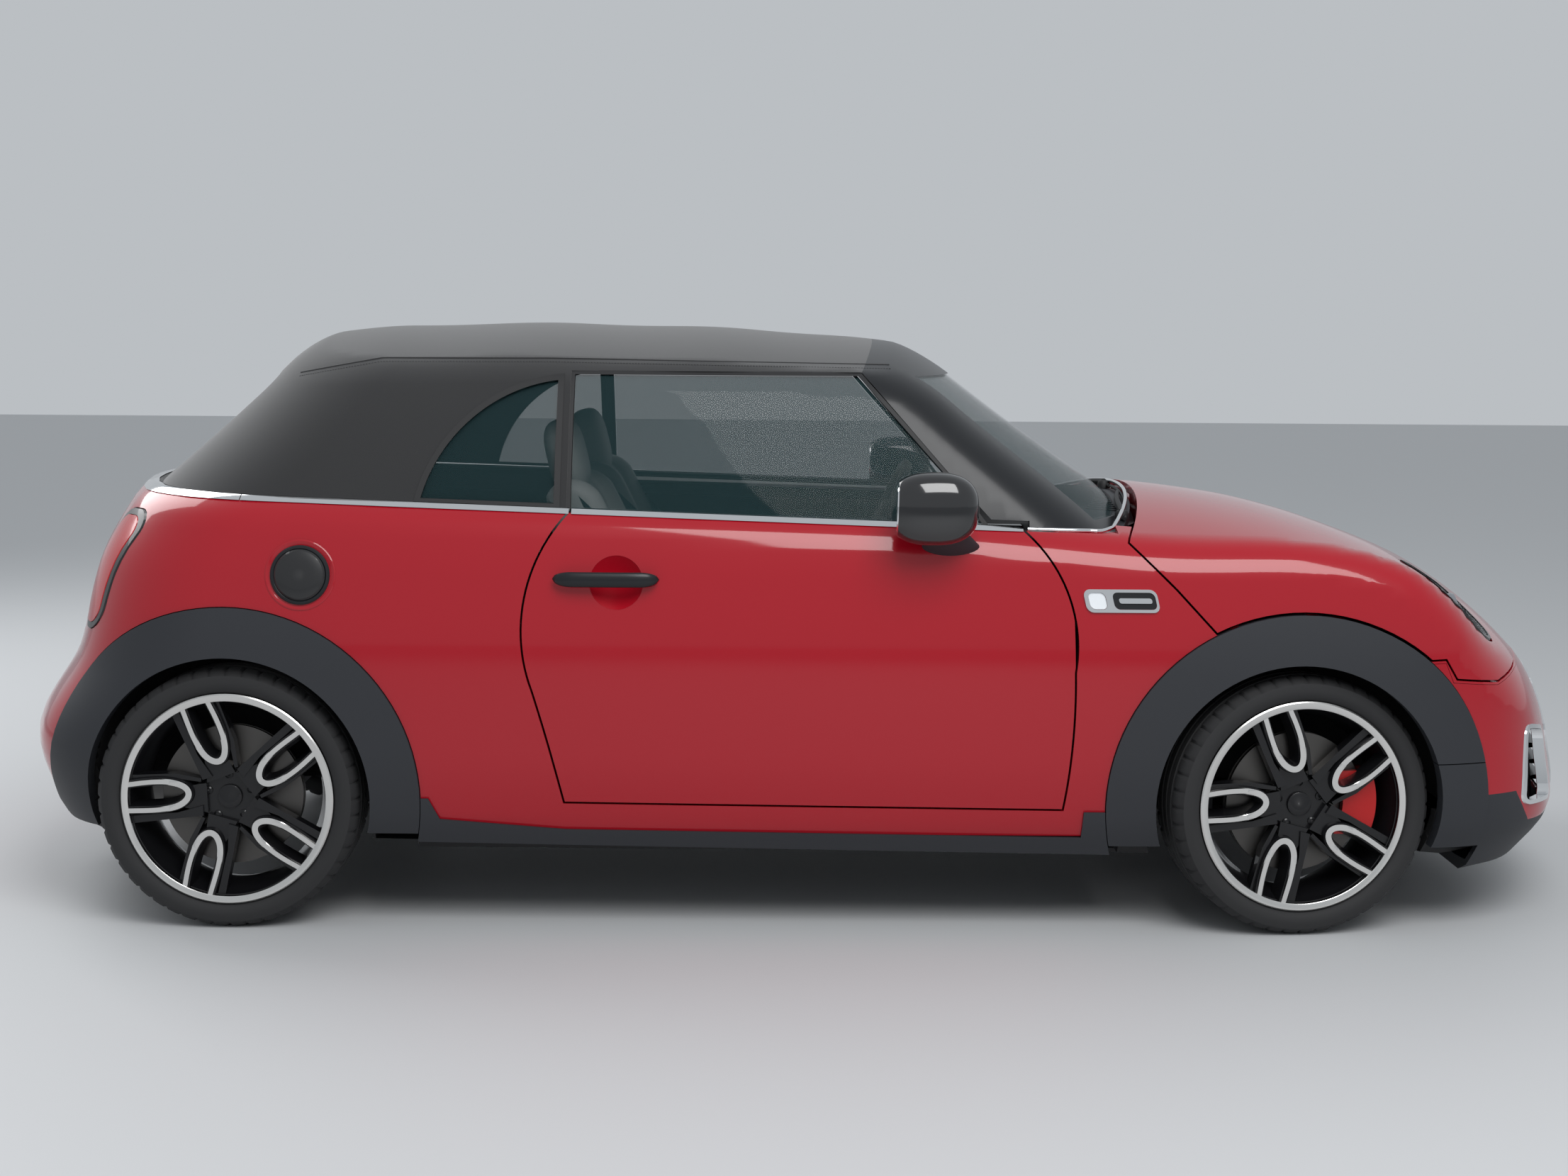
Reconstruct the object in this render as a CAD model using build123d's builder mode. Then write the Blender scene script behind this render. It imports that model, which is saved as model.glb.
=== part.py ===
"""Two-door convertible car with its fabric hood closed: body, doors, bonnet, tailgate, wheels and cabin.

Frame: +X forward, +Y to the car's left, +Z up, origin on the ground under the middle of the car.
Millimetres. The doors, bonnet and tailgate are cut from one thick shell along their real shut lines.
"""

import os
from math import cos, radians, sin, sqrt

from build123d import *

os.makedirs("parts", exist_ok=True)

# Axles and wheels
front_axle_x = 1168
wheelbase = 2495
rear_axle_x = front_axle_x - wheelbase
track = 1485
hub_z = 306
tyre_radius = 306
tyre_width = 205
tyre_shoulder = 22
rim_radius = 229
rim_flange = 19
rim_width = 178
rim_wall = 12
spindle_radius = 20
spindle_length = 50
disc_radius = 165
disc_thickness = 28
parked_steer_deg = 7
running_gap = 6
ball_seat_radius = 62
ball_seat_z = 197

# Panel thickness and gaps
wall = 80
shut_gap = 8
canopy_wall = 28
glass_depth = 8
glass_thickness = 6
seal_gap = 10
trim_height = 12
trim_stand = 10

# Wheel arches
arch_radius = 334
cladding_width = 118
front_well_radius = 360
rear_well_radius = 345
liner_thickness = 10

# Belt line: height above the ground at x = 0 and its fall towards the front
belt_z = 957
belt_slope = 0.0323

# Body skin, as plan outlines stacked in height
nose_bow_radius = 1450
tail_bow_radius = 1800
side_bulge = 14
#        height  nose x  tail x  half width  nose corner  tail corner
HULL_LEVELS = [
    (130, 1850, -1780, 765, 350, 300),
    (270, 1950, -1890, 822, 400, 330),
    (410, 1930, -1936, 842, 415, 340),
    (620, 1907, -1830, 849.5, 420, 350),
    (830, 1890, -1775, 832, 420, 360),
    (1060, 1860, -1640, 778, 420, 380),
]

# Bonnet and deck, as arched cross-sections stacked along the car
crown_edge_y = 950
wing_y = 680
#        station x  centre height  wing height
CROWN_STATIONS = [
    (-1990, 1052, 1030),
    (300, 1040, 985),
    (870, 1006, 942),
    (1120, 974, 932),
    (1270, 940, 912),
    (1420, 891, 868),
    (1540, 842, 786),
    (1630, 792, 690),
    (1730, 718, 585),
    (1820, 632, 470),
    (1890, 550, 370),
    (1960, 440, 220),
]

# Windscreen, side glass and hood skin, as plan outlines stacked in height
screen_bow_radius = 1500
#        height  front x  rear x  half width  front corner  rear corner
CANOPY_LEVELS = [
    (900, 927, -1742, 785, 200, 380),
    (1010, 782, -1628, 752, 190, 370),
    (1180, 540, -1436, 684, 160, 350),
    (1310, 366, -1300, 618, 130, 320),
    (1460, 160, -1150, 540, 90, 290),
]

# Roof of the hood and windscreen header
roof_edge_y = 800
rail_y = 540
#        station x  centre height  height at the roof rail
ROOF_STATIONS = [
    (-1900, 1350, 1270),
    (-1255, 1382, 1306),
    (-1000, 1408, 1334),
    (-600, 1415, 1343),
    (-200, 1406, 1336),
    (230, 1374, 1310),
    (500, 1310, 1250),
    (1000, 1180, 1120),
]


def belt_height(x):
    return belt_z - belt_slope * x


def plan_outline(level, inset, bow_front, bow_rear, bulge):
    """Draws one plan outline, smaller by inset all round."""
    height, front, rear, half_width, front_corner, rear_corner = level
    front, rear, half_width = front - inset, rear + inset, half_width - inset
    front_end = front - bow_front + sqrt(bow_front**2 - half_width**2)
    rear_end = rear + bow_rear - sqrt(bow_rear**2 - half_width**2)
    with BuildSketch(Plane.XY.offset(height)) as outline:
        with BuildLine():
            ThreePointArc((front_end, -half_width), (front, 0), (front_end, half_width))
            ThreePointArc((front_end, half_width), (0, half_width + bulge), (rear_end, half_width))
            ThreePointArc((rear_end, half_width), (rear, 0), (rear_end, -half_width))
            ThreePointArc((rear_end, -half_width), (0, -half_width - bulge), (front_end, -half_width))
        make_face()
        fillet(outline.vertices().group_by(Axis.X)[-1], front_corner - inset)
        fillet(outline.vertices().group_by(Axis.X)[0], rear_corner - inset)
    return outline.sketch


def crown(stations, edge_y, side_y, inset):
    """A block under an arched top surface, lower by inset."""
    with BuildPart() as block:
        for station, centre, side in stations:
            top = centre - inset
            edge = top - (centre - side) * (edge_y / side_y) ** 2
            with BuildSketch(Plane.YZ.offset(station)):
                with BuildLine():
                    ThreePointArc((-edge_y, edge), (0, top), (edge_y, edge))
                    Polyline((edge_y, edge), (edge_y, -500), (-edge_y, -500), (-edge_y, edge))
                make_face()
        loft(ruled=True)
    return block.part


def hull(inset):
    """The body's outer form below the belt line, smaller by inset."""
    with BuildPart() as body:
        loft([plan_outline(level, inset, nose_bow_radius, tail_bow_radius, side_bulge) for level in HULL_LEVELS],
             ruled=True)
        add(crown(CROWN_STATIONS, crown_edge_y, wing_y, inset), mode=Mode.INTERSECT)
    return body.part


def canopy(inset):
    """The outer form of windscreen, side glass and hood, smaller by inset."""
    with BuildPart() as top:
        loft([plan_outline(level, inset, screen_bow_radius, tail_bow_radius, side_bulge) for level in CANOPY_LEVELS],
             ruled=True)
        add(crown(ROOF_STATIONS, roof_edge_y, rail_y, inset), mode=Mode.INTERSECT)
    return top.part


def side_block(outline, near, far):
    """Extrudes a side-view outline from near to far on the right of the car."""
    with BuildPart() as block:
        with BuildSketch(Plane.XZ.offset(near)):
            add(outline)
        extrude(amount=far - near)
    return block.part


def both_sides(part):
    return part + mirror(part, about=Plane.XZ)


def polygon(*points):
    with BuildSketch() as face:
        with BuildLine():
            Polyline(*points, close=True)
        make_face()
    return face.sketch


def wheel_well(axle_x, radius, near):
    """A cylinder along an axle, from near to beyond the skin, on both sides."""
    with BuildPart() as well:
        with Locations(Plane.XZ.offset(near)):
            with Locations((axle_x, hub_z)):
                Cylinder(radius, 1000, align=(Align.CENTER, Align.CENTER, Align.MIN))
        mirror(about=Plane.XZ)
    return well.part


def front_block(outline, rear_x, front_x):
    """Extrudes a front-view outline (Y across, Z up) from rear_x to front_x."""
    with BuildPart() as block:
        with BuildSketch(Plane.YZ.offset(rear_x)):
            add(outline)
        extrude(amount=front_x - rear_x)
    return block.part


def plan_block(outline, low_z, high_z):
    """Extrudes a plan-view outline from low_z to high_z."""
    with BuildPart() as block:
        with BuildSketch(Plane.XY.offset(low_z)):
            add(outline)
        extrude(amount=high_z - low_z)
    return block.part


def box(x0, x1, y0, y1, z0, z1):
    """A box given by its limits."""
    with BuildPart() as block:
        with Locations(((x0 + x1) / 2, (y0 + y1) / 2, (z0 + z1) / 2)):
            Box(x1 - x0, y1 - y0, z1 - z0)
    return block.part


outer_hull = hull(0)
shell = outer_hull - hull(wall)
outer_canopy = canopy(0)
canopy_shell = outer_canopy - canopy(canopy_wall)
glass_shell = canopy(glass_depth) - canopy(glass_depth + glass_thickness)

# Regions cut along the real shut lines
arch_outer = arch_radius + cladding_width

above_belt = side_block(
    polygon((-2200, belt_height(-2200)), (745, belt_height(745)), (745, 1700), (-2200, 1700)), -1100, 1100)
trim_band = side_block(
    polygon((-2200, belt_height(-2200)), (900, belt_height(900)),
            (900, belt_height(900) + trim_height), (-2200, belt_height(-2200) + trim_height)), -1100, 1100)

# Door: front shut line at x 637, rear shut line at x -630
door_inner_y = 640
with BuildSketch() as door_outline:
    with BuildLine():
        Line((-534, belt_height(-534)), (520, belt_height(520)))
        ThreePointArc((520, belt_height(520)), (612, 815), (637, 620))
        ThreePointArc((637, 620), (634, 451), (616, 297))
        Line((616, 297), (-540, 307))
        ThreePointArc((-540, 307), (-574, 440), (-612, 570))
        ThreePointArc((-612, 570), (-630, 780), (-534, belt_height(-534)))
    make_face()
with BuildSketch() as door_opening_outline:
    add(door_outline)
    offset(amount=shut_gap, kind=Kind.INTERSECTION)
door_opening = side_block(door_opening_outline.sketch, door_inner_y, 1000)

# Door hinges: swan-neck arms that turn on pins in pockets of the front pillar
door_pivot_x = 687
door_pivot_y = 833.5
door_hinge_heights = (455, 725)
door_hinge_thickness = 14
hinge_pocket_height = 28
door_relief_radius = 56

# Door handle: a bar across a round finger cup
handle_rear_x = -566
handle_length = 245
handle_y = 867
handle_z = 829
handle_height = 24
handle_thickness = 17
handle_foot = 20
handle_cup_sphere = 110
handle_cup_centre = (-420, -935, 820)

# Clamshell bonnet: rear edge bowed in plan, side edges down to the wheel arch, low front edge
bonnet_rear_x = 863
bonnet_corner_x = 760
bonnet_side = [(bonnet_corner_x, 923), (872, 814), (965, 714), (1168, 700), (1330, 650), (1499, 656), (1528, 609),
               (1640, 597), (1714, 618), (1990, 642), (1990, 1300), (600, 1300), (600, 923)]


def bonnet_region(gap):
    """The bonnet's space inside its shut lines, larger by gap."""
    with BuildSketch() as side:
        with BuildLine():
            Polyline(*bonnet_side, close=True)
        make_face()
        if gap:
            offset(amount=gap, kind=Kind.INTERSECTION)
    with BuildSketch() as plan:
        with BuildLine():
            ThreePointArc((bonnet_corner_x - gap, -820), (bonnet_rear_x - gap, 0), (bonnet_corner_x - gap, 820))
            Polyline((bonnet_corner_x - gap, 820), (bonnet_corner_x - gap, 1000), (2100, 1000), (2100, -1000),
                     (bonnet_corner_x - gap, -1000), (bonnet_corner_x - gap, -820))
        make_face()
    with BuildPart() as region:
        add(side_block(side.sketch, -1000, 1000))
        add(plan_block(plan.sketch, 400, 1300), mode=Mode.INTERSECT)
        add(wheel_well(front_axle_x, arch_outer + shut_gap - gap, 600), mode=Mode.SUBTRACT)
    return region.part


# Headlamp: an oval lamp that leans with the wing; the bonnet has a hole that lifts off it
lamp_x = 1545
lamp_y = 625
lamp_half_length = 130
lamp_half_width = 105
lamp_tilt_deg = 14
lamp_depth = 130
lamp_plane = Plane((lamp_x, -lamp_y, 760), x_dir=(cos(radians(lamp_tilt_deg)), 0, -sin(radians(lamp_tilt_deg))),
                   z_dir=(sin(radians(lamp_tilt_deg)), 0, cos(radians(lamp_tilt_deg))))


def lamp_region(gap):
    with BuildPart() as region:
        with BuildSketch(lamp_plane) as lamp_sketch:
            Ellipse(lamp_half_length + gap, lamp_half_width + gap)
        extrude(amount=250)
        extrude(lamp_sketch.sketch, amount=-lamp_depth)
    return region.part


# Bumpers
bumper_front_region = side_block(
    polygon((1330, 100), (1330, 640), (1497, 645), (1517, 599), (1640, 586), (1714, 607), (1990, 631), (1990, 100)),
    -1100, 1100) - wheel_well(front_axle_x, arch_radius, 600)
rear_bumper_top_z = 655
bumper_rear_region = side_block(
    polygon((-1990, 205), (-1480, 205), (-1480, rear_bumper_top_z), (-1990, rear_bumper_top_z)),
    -1100, 1100) - wheel_well(rear_axle_x, arch_radius, 600)

# Grille opening in the front bumper
with BuildSketch() as grille_outline:
    with BuildLine():
        Polyline((-330, 250), (330, 250), (440, 400), (400, 575), (-400, 575), (-440, 400), close=True)
    make_face()
    fillet(grille_outline.vertices(), 30)
grille_region = front_block(grille_outline.sketch, 1700, 2000)
grille_setback = 20
grille_bar_height = 14
grille_bar_pitch = 46
grille_bar_depth = 30
grille_bar_count = 6
intake_depth = 30
intake_region = both_sides(front_block(
    polygon((-735, 265), (-575, 255), (-560, 430), (-700, 450)), 1600, 2000)) & (outer_hull - hull(intake_depth))

# Tailgate: drops about its lower edge
tailgate_half_width = 490
tailgate_low_z = 676
tailgate_high_z = 940


tailgate_pivot_x = -1795
tailgate_pivot_z = 686
tailgate_skin = 14
tailgate_rebate_z = 870
tailgate_hinge_y = 120
hinge_pin_radius = 5
pin_play = 0.4


def tailgate_region(gap):
    with BuildPart() as region:
        with BuildSketch(Plane.YZ.offset(-2000)):
            with Locations((0, (tailgate_low_z + tailgate_high_z) / 2)):
                RectangleRounded(2 * (tailgate_half_width + gap), tailgate_high_z - tailgate_low_z + 2 * gap, 50 + gap)
        extrude(amount=460)
    return region.part


# Tail lamps
with BuildSketch() as tail_lamp_outline:
    with Locations((640, 825)):
        RectangleRounded(150, 285, 60)
tail_lamp_region = both_sides(front_block(tail_lamp_outline.sketch, -2000, -1450))

# Cladding round the wheel openings and along the sills
cladding_inner_y = 690
sill_top_z = 239
sill_cladding_outline = polygon((-990, 312), (-990, 205), (755, 180), (762, 290), (667, 290), (663, sill_top_z - 12),
                                (-540, sill_top_z), (-832, 262), (-858, 312))
with BuildPart() as cladding_region:
    for axle_x, front_end_z, rear_end_z in [(front_axle_x, 386, 286), (rear_axle_x, 306, 400)]:
        with BuildSketch(Plane.XZ.offset(cladding_inner_y)):
            with Locations((axle_x, hub_z)):
                Circle(arch_outer)
                Circle(arch_radius, mode=Mode.SUBTRACT)
            with Locations((axle_x, hub_z - 520)):
                Rectangle(1100, 1000, mode=Mode.SUBTRACT)
        extrude(amount=300)
    with BuildSketch(Plane.XZ.offset(cladding_inner_y)):
        add(sill_cladding_outline)
    extrude(amount=300)
    mirror(about=Plane.XZ)
cladding_space = cladding_region.part

below_sill = side_block(
    polygon((-2100, 50), (-2100, 206), (-540, 202), (755, 181), (1330, 181), (1330, 50)), -1100, 1100)

# Cabin opening between the walls
cabin_half_width = 700
cabin_rear_x = -1575
cabin_front_x = 775
with BuildSketch() as cabin_plan:
    with Locations(((cabin_front_x + cabin_rear_x) / 2, 0)):
        Rectangle(cabin_front_x - cabin_rear_x, 2 * cabin_half_width)
    fillet(cabin_plan.vertices().group_by(Axis.X)[0], 300)
cabin_opening = plan_block(cabin_plan.sketch, 600, 1300)

# Side windows
glass_top_z = 1291
pillar_foot = (434, belt_height(434))
pillar_mid = (331, 1076)
pillar_top = (138, glass_top_z)
b_post_x = -531
quarter_top = ((-769, 1197), (-558, 1293))
door_glass_outline = polygon((b_post_x, belt_height(b_post_x)), pillar_foot, pillar_mid, pillar_top,
                             (b_post_x, glass_top_z))
with BuildSketch() as quarter_outline:
    with BuildLine():
        ThreePointArc((-892, belt_height(-892) + trim_height), (-770, 1200), (-563, 1288))
        Line((-563, 1288), (-563, belt_height(-563) + trim_height))
        Line((-563, belt_height(-563) + trim_height), (-892, belt_height(-892) + trim_height))
    make_face()
quarter_region = both_sides(side_block(quarter_outline.sketch, 400, 900))
door_glass_region = side_block(door_glass_outline, 400, 900)

# Windscreen and rear window
with BuildSketch() as screen_outline:
    with BuildLine():
        Polyline((-655, 955), (655, 955), (535, 1292), (-535, 1292), close=True)
    make_face()
    fillet(screen_outline.vertices(), 40)
screen_region = front_block(screen_outline.sketch, 150, 1100)
with BuildSketch() as rear_window_outline:
    with Locations((0, 1165)):
        RectangleRounded(860, 200, 60)
rear_window_region = front_block(rear_window_outline.sketch, -1700, -1250)

header_x = 228
frame_outline = polygon((535, belt_height(535)), (535, belt_height(535) + 24), (446, belt_height(446) + 24),
                        (pillar_mid[0] + seal_gap, pillar_mid[1] + 4), (pillar_top[0] + seal_gap, glass_top_z + seal_gap),
                        (header_x, 1450), (1100, 1450), (1100, belt_height(1100)))
hood_outline = polygon((header_x, 1450), (pillar_top[0] + seal_gap, glass_top_z + seal_gap),
                       (b_post_x - seal_gap, glass_top_z + seal_gap),
                       (b_post_x - seal_gap, belt_height(b_post_x - seal_gap) + trim_height),
                       (-2200, belt_height(-2200) + trim_height), (-2200, 1450))

bonnet_space = bonnet_region(shut_gap)
lamp_hole = both_sides(lamp_region(shut_gap))
pieces = {}


def keep(part, name):
    """Labels a finished piece and writes its STEP file."""
    part.label = name
    pieces[name] = part
    export_step(part, f"parts/{name}.step")


seat_gap = 0.3
bump_stop_x = 1640
bump_stop_y = 330
bump_stop_z = 665

# Panels cut from the shell
with BuildPart() as headlamps:
    add(shell)
    add(lamp_region(0), mode=Mode.INTERSECT)
    mirror(about=Plane.XZ)
keep(headlamps.part, "headlamps")

with BuildPart() as bonnet:
    add(shell)
    add(bonnet_region(0), mode=Mode.INTERSECT)
    add(lamp_hole, mode=Mode.SUBTRACT)
    for side in (-1, 1):
        with Locations((bump_stop_x, side * bump_stop_y, bump_stop_z)):
            Cylinder(18, 70, align=(Align.CENTER, Align.CENTER, Align.MIN))
keep(bonnet.part, "bonnet")

with BuildPart() as front_bumper:
    add(shell)
    add(bumper_front_region, mode=Mode.INTERSECT)
    add(cladding_space, mode=Mode.SUBTRACT)
    add(grille_region, mode=Mode.SUBTRACT)
    add(headlamps.part, mode=Mode.SUBTRACT)
    add(intake_region, mode=Mode.SUBTRACT)
keep(front_bumper.part, "front_bumper")

with BuildPart() as front_grille:
    add(shell)
    with BuildPart(mode=Mode.SUBTRACT):
        with Locations(*[(1500, 0, 275 + grille_bar_pitch * (i + 0.5)) for i in range(grille_bar_count)]):
            Box(1000, 900, grille_bar_pitch - grille_bar_height)
        add(hull(grille_bar_depth), mode=Mode.SUBTRACT)
    add(grille_region, mode=Mode.INTERSECT)
keep(Location((-grille_setback, 0, 0)) * front_grille.part, "front_grille")

with BuildPart() as rear_bumper:
    add(shell)
    add(bumper_rear_region, mode=Mode.INTERSECT)
    add(cladding_space, mode=Mode.SUBTRACT)
    add(box(-2000, -1600, -130, 130, 150, 320), mode=Mode.SUBTRACT)
keep(rear_bumper.part, "rear_bumper")

with BuildPart() as tailgate:
    add(shell)
    add(tailgate_region(0), mode=Mode.INTERSECT)
    add(hull(tailgate_skin) & box(-2000, -1400, -600, 600, tailgate_rebate_z, 1000), mode=Mode.SUBTRACT)
    for side in (-1, 1):
        middle = side * tailgate_hinge_y
        add(box(tailgate_pivot_x - 12, -1600, middle - 20, middle + 20, 600, tailgate_pivot_z + 12), mode=Mode.SUBTRACT)
        with Locations(Plane.XZ.offset(middle - 22)):
            with Locations((tailgate_pivot_x, tailgate_pivot_z)):
                Cylinder(hinge_pin_radius, 44, align=(Align.CENTER, Align.CENTER, Align.MIN))
keep(tailgate.part, "tailgate")

with BuildPart() as tail_lamps:
    add(shell)
    add(tail_lamp_region, mode=Mode.INTERSECT)
keep(tail_lamps.part, "tail_lamps")

with BuildPart() as lower_cladding:
    add(shell)
    add(cladding_space, mode=Mode.INTERSECT)
keep(lower_cladding.part, "lower_cladding")

with BuildPart() as door_right:
    add(shell)
    add(side_block(door_outline.sketch, door_inner_y, 1000), mode=Mode.INTERSECT)
    add(cabin_opening, mode=Mode.SUBTRACT)
    with Locations((door_pivot_x, -door_pivot_y, 600)):
        Cylinder(door_relief_radius, 1000, mode=Mode.SUBTRACT)
    for height in door_hinge_heights:
        with BuildSketch(Plane((door_pivot_x, -door_pivot_y, height - door_hinge_thickness / 2))):
            with BuildLine():
                Polyline((0, 0), (-26, 44), (-72, 46))
            trace(line_width=11)
            Circle(9)
            Circle(hinge_pin_radius + pin_play, mode=Mode.SUBTRACT)
        extrude(amount=door_hinge_thickness)
    with Locations(handle_cup_centre):
        Sphere(handle_cup_sphere, mode=Mode.SUBTRACT)
    with BuildSketch(Plane.YZ.offset(handle_rear_x)):
        with Locations((-handle_y, handle_z)):
            Ellipse(handle_thickness / 2, handle_height / 2)
    extrude(amount=handle_length)
    for end_x in (handle_rear_x + handle_foot, handle_rear_x + handle_length - handle_foot):
        add(box(end_x - 10, end_x + 10, -handle_y, -handle_y + 45, handle_z - 8, handle_z + 8))
keep(door_right.part, "door_right")
keep(mirror(door_right.part, about=Plane.XZ), "door_left")

# Body shell: sides, sills, floor, bulkhead, rails and inner wings
floor_z = 170
floor_thickness = 25
rear_floor_z = 400
bulkhead_x = 775
bulkhead_thickness = 22
rail_inner_y = 400
rail_outer_y = 450
rear_inner_y = 520
with BuildPart() as liners:
    for axle_x, radius, near in [(front_axle_x, front_well_radius, rail_outer_y),
                                 (rear_axle_x, rear_well_radius, rear_inner_y)]:
        with BuildSketch(Plane.XZ.offset(near)):
            with Locations((axle_x, hub_z)):
                Circle(radius + liner_thickness)
                Circle(radius, mode=Mode.SUBTRACT)
            with Locations((axle_x, hub_z - 505)):
                Rectangle(1100, 1000, mode=Mode.SUBTRACT)
        extrude(amount=300)
        with BuildSketch(Plane.XZ.offset(near - liner_thickness)):
            with Locations((axle_x, hub_z)):
                Circle(radius + liner_thickness)
            with Locations((axle_x, hub_z - 505)):
                Rectangle(1100, 1000, mode=Mode.SUBTRACT)
        extrude(amount=liner_thickness)
    mirror(about=Plane.XZ)

inner_form = hull(wall - 4)
with BuildPart() as structure:
    add(box(-900, bulkhead_x, -745, 745, floor_z, floor_z + floor_thickness))
    add(both_sides(box(-860, bulkhead_x, -790, -690, floor_z, 285)))
    add(box(bulkhead_x, bulkhead_x + bulkhead_thickness, -790, 790, floor_z, 875))
    add(both_sides(box(bulkhead_x, 1700, -rail_outer_y, -rail_inner_y, 420, 560)))
    add(box(1610, 1700, -600, 600, 420, 540))
    add(both_sides(box(-1700, -860, -rear_inner_y, -rear_inner_y + 60, 330, 420)))
    add(box(-1720, -1680, -640, 640, rear_floor_z, 640))
    add(box(-900, -860, -790, 790, floor_z, 420))
    add(box(-1700, -860, -500, 500, rear_floor_z, rear_floor_z + 20))
    add(wheel_well(front_axle_x, front_well_radius + liner_thickness / 2, rail_outer_y), mode=Mode.SUBTRACT)
    add(wheel_well(rear_axle_x, rear_well_radius + liner_thickness / 2, rear_inner_y), mode=Mode.SUBTRACT)
    add(liners.part)
    add(wheel_well(rear_axle_x, 60, 0), mode=Mode.SUBTRACT)
    add(inner_form, mode=Mode.INTERSECT)

# Door hinge pockets in the front pillars, with a pin in each
hinge_pocket_front = 15
hinge_pocket_outer = 14.5
hinge_pocket_inner = 58
hinge_pockets = []
hinge_pins = []
for side in (-1, 1):
    for height in door_hinge_heights:
        with BuildPart() as pocket:
            with Locations((600, side * (door_pivot_y + hinge_pocket_outer), height)):
                Box(door_pivot_x + hinge_pocket_front - 600, hinge_pocket_outer + hinge_pocket_inner, hinge_pocket_height,
                    align=(Align.MIN, Align.MIN if side < 0 else Align.MAX, Align.CENTER))
        with BuildPart() as pin:
            with Locations((door_pivot_x, side * door_pivot_y, height)):
                Cylinder(hinge_pin_radius, hinge_pocket_height + 2)
        hinge_pockets.append(pocket.part)
        hinge_pins.append(pin.part)

# Tailgate hinge lugs, bonnet bump stops and headlamp brackets
lug_half_width = 10
lug_height = 14
fixtures = []
for side in (-1, 1):
    with BuildPart() as lug:
        middle = side * tailgate_hinge_y
        add(box(-1720, -1690, middle - lug_half_width, middle + lug_half_width, 620, tailgate_pivot_z + lug_height / 2))
        add(box(tailgate_pivot_x, -1690, middle - lug_half_width, middle + lug_half_width,
                tailgate_pivot_z - lug_height / 2, tailgate_pivot_z + lug_height / 2))
        with Locations(Plane.XZ.offset(-middle - lug_half_width)):
            with Locations((tailgate_pivot_x, tailgate_pivot_z)):
                Cylinder(9, 2 * lug_half_width, align=(Align.CENTER, Align.CENTER, Align.MIN))
                Cylinder(hinge_pin_radius + pin_play, 2 * lug_half_width, align=(Align.CENTER, Align.CENTER, Align.MIN),
                         mode=Mode.SUBTRACT)
    with BuildPart() as bump_stop:
        with Locations((bump_stop_x, side * bump_stop_y, 520)):
            Cylinder(14, bump_stop_z - seat_gap - 520, align=(Align.CENTER, Align.CENTER, Align.MIN))
    fixtures += [lug.part, bump_stop.part]
with BuildPart() as lamp_brackets:
    add(both_sides(box(1492, 1530, -620, -rail_inner_y, 480, 540)))
    add(both_sides(box(1492, 1530, -620, -560, 480, 770)))
    add(headlamps.part, mode=Mode.SUBTRACT)

with BuildPart() as body_shell:
    add(shell)
    add([above_belt, box(740, 900, -695, 695, 875, 1100), cabin_opening, below_sill], mode=Mode.SUBTRACT)
    add([wheel_well(front_axle_x, front_well_radius, 600), wheel_well(rear_axle_x, rear_well_radius, 600)],
        mode=Mode.SUBTRACT)
    add(structure.part)
    add([bonnet_space, door_opening, mirror(door_opening, about=Plane.XZ), tailgate_region(shut_gap),
         box(-2000, -1540, -tailgate_half_width - shut_gap, tailgate_half_width + shut_gap, rear_bumper_top_z,
             tailgate_low_z + 60)], mode=Mode.SUBTRACT)
    add([bumper_front_region & shell, bumper_rear_region & shell, tail_lamp_region, cladding_space],
        mode=Mode.SUBTRACT)
    add([lamp_hole] + hinge_pockets, mode=Mode.SUBTRACT)
    add(hinge_pins + fixtures + [lamp_brackets.part])
keep(body_shell.part.solids().sort_by(SortBy.VOLUME)[-1], "body_shell")


# Cowl between the bonnet's rear edge and the windscreen
cowl_drop = 26
cowl_half_width = 695
cowl_low_z = 875
with BuildSketch() as cowl_plan:
    with BuildLine():
        ThreePointArc((bonnet_corner_x - shut_gap, -cowl_half_width), (bonnet_rear_x - shut_gap, 0),
                      (bonnet_corner_x - shut_gap, cowl_half_width))
        Line((bonnet_corner_x - shut_gap, cowl_half_width), (590, cowl_half_width))
        ThreePointArc((590, cowl_half_width), (bulkhead_x, 0), (590, -cowl_half_width))
        Line((590, -cowl_half_width), (bonnet_corner_x - shut_gap, -cowl_half_width))
    make_face()
cowl_top = crown(CROWN_STATIONS, crown_edge_y, wing_y, cowl_drop)
with BuildPart() as cowl:
    add(plan_block(cowl_plan.sketch, cowl_low_z, 1100))
    add(cowl_top, mode=Mode.INTERSECT)
keep(cowl.part, "cowl")

# Windscreen frame, glass and hood
with BuildPart() as windscreen_frame:
    add(canopy_shell)
    add(side_block(frame_outline, -1000, 1000), mode=Mode.INTERSECT)
    add(screen_region, mode=Mode.SUBTRACT)
    add(cowl.part, mode=Mode.SUBTRACT)
    add(bonnet_space, mode=Mode.SUBTRACT)
keep(windscreen_frame.part.solids().sort_by(SortBy.VOLUME)[-1], "windscreen_frame")

with BuildPart() as windscreen:
    add(glass_shell)
    add(screen_region, mode=Mode.INTERSECT)
    add(cowl.part, mode=Mode.SUBTRACT)
keep(windscreen.part, "windscreen")

with BuildPart() as soft_top:
    add(canopy_shell)
    add(side_block(hood_outline, -1000, 1000), mode=Mode.INTERSECT)
    add(quarter_region, mode=Mode.SUBTRACT)
    add(rear_window_region, mode=Mode.SUBTRACT)
keep(soft_top.part, "soft_top")

with BuildPart() as rear_window:
    add(glass_shell)
    add(rear_window_region, mode=Mode.INTERSECT)
keep(rear_window.part, "rear_window")

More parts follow.
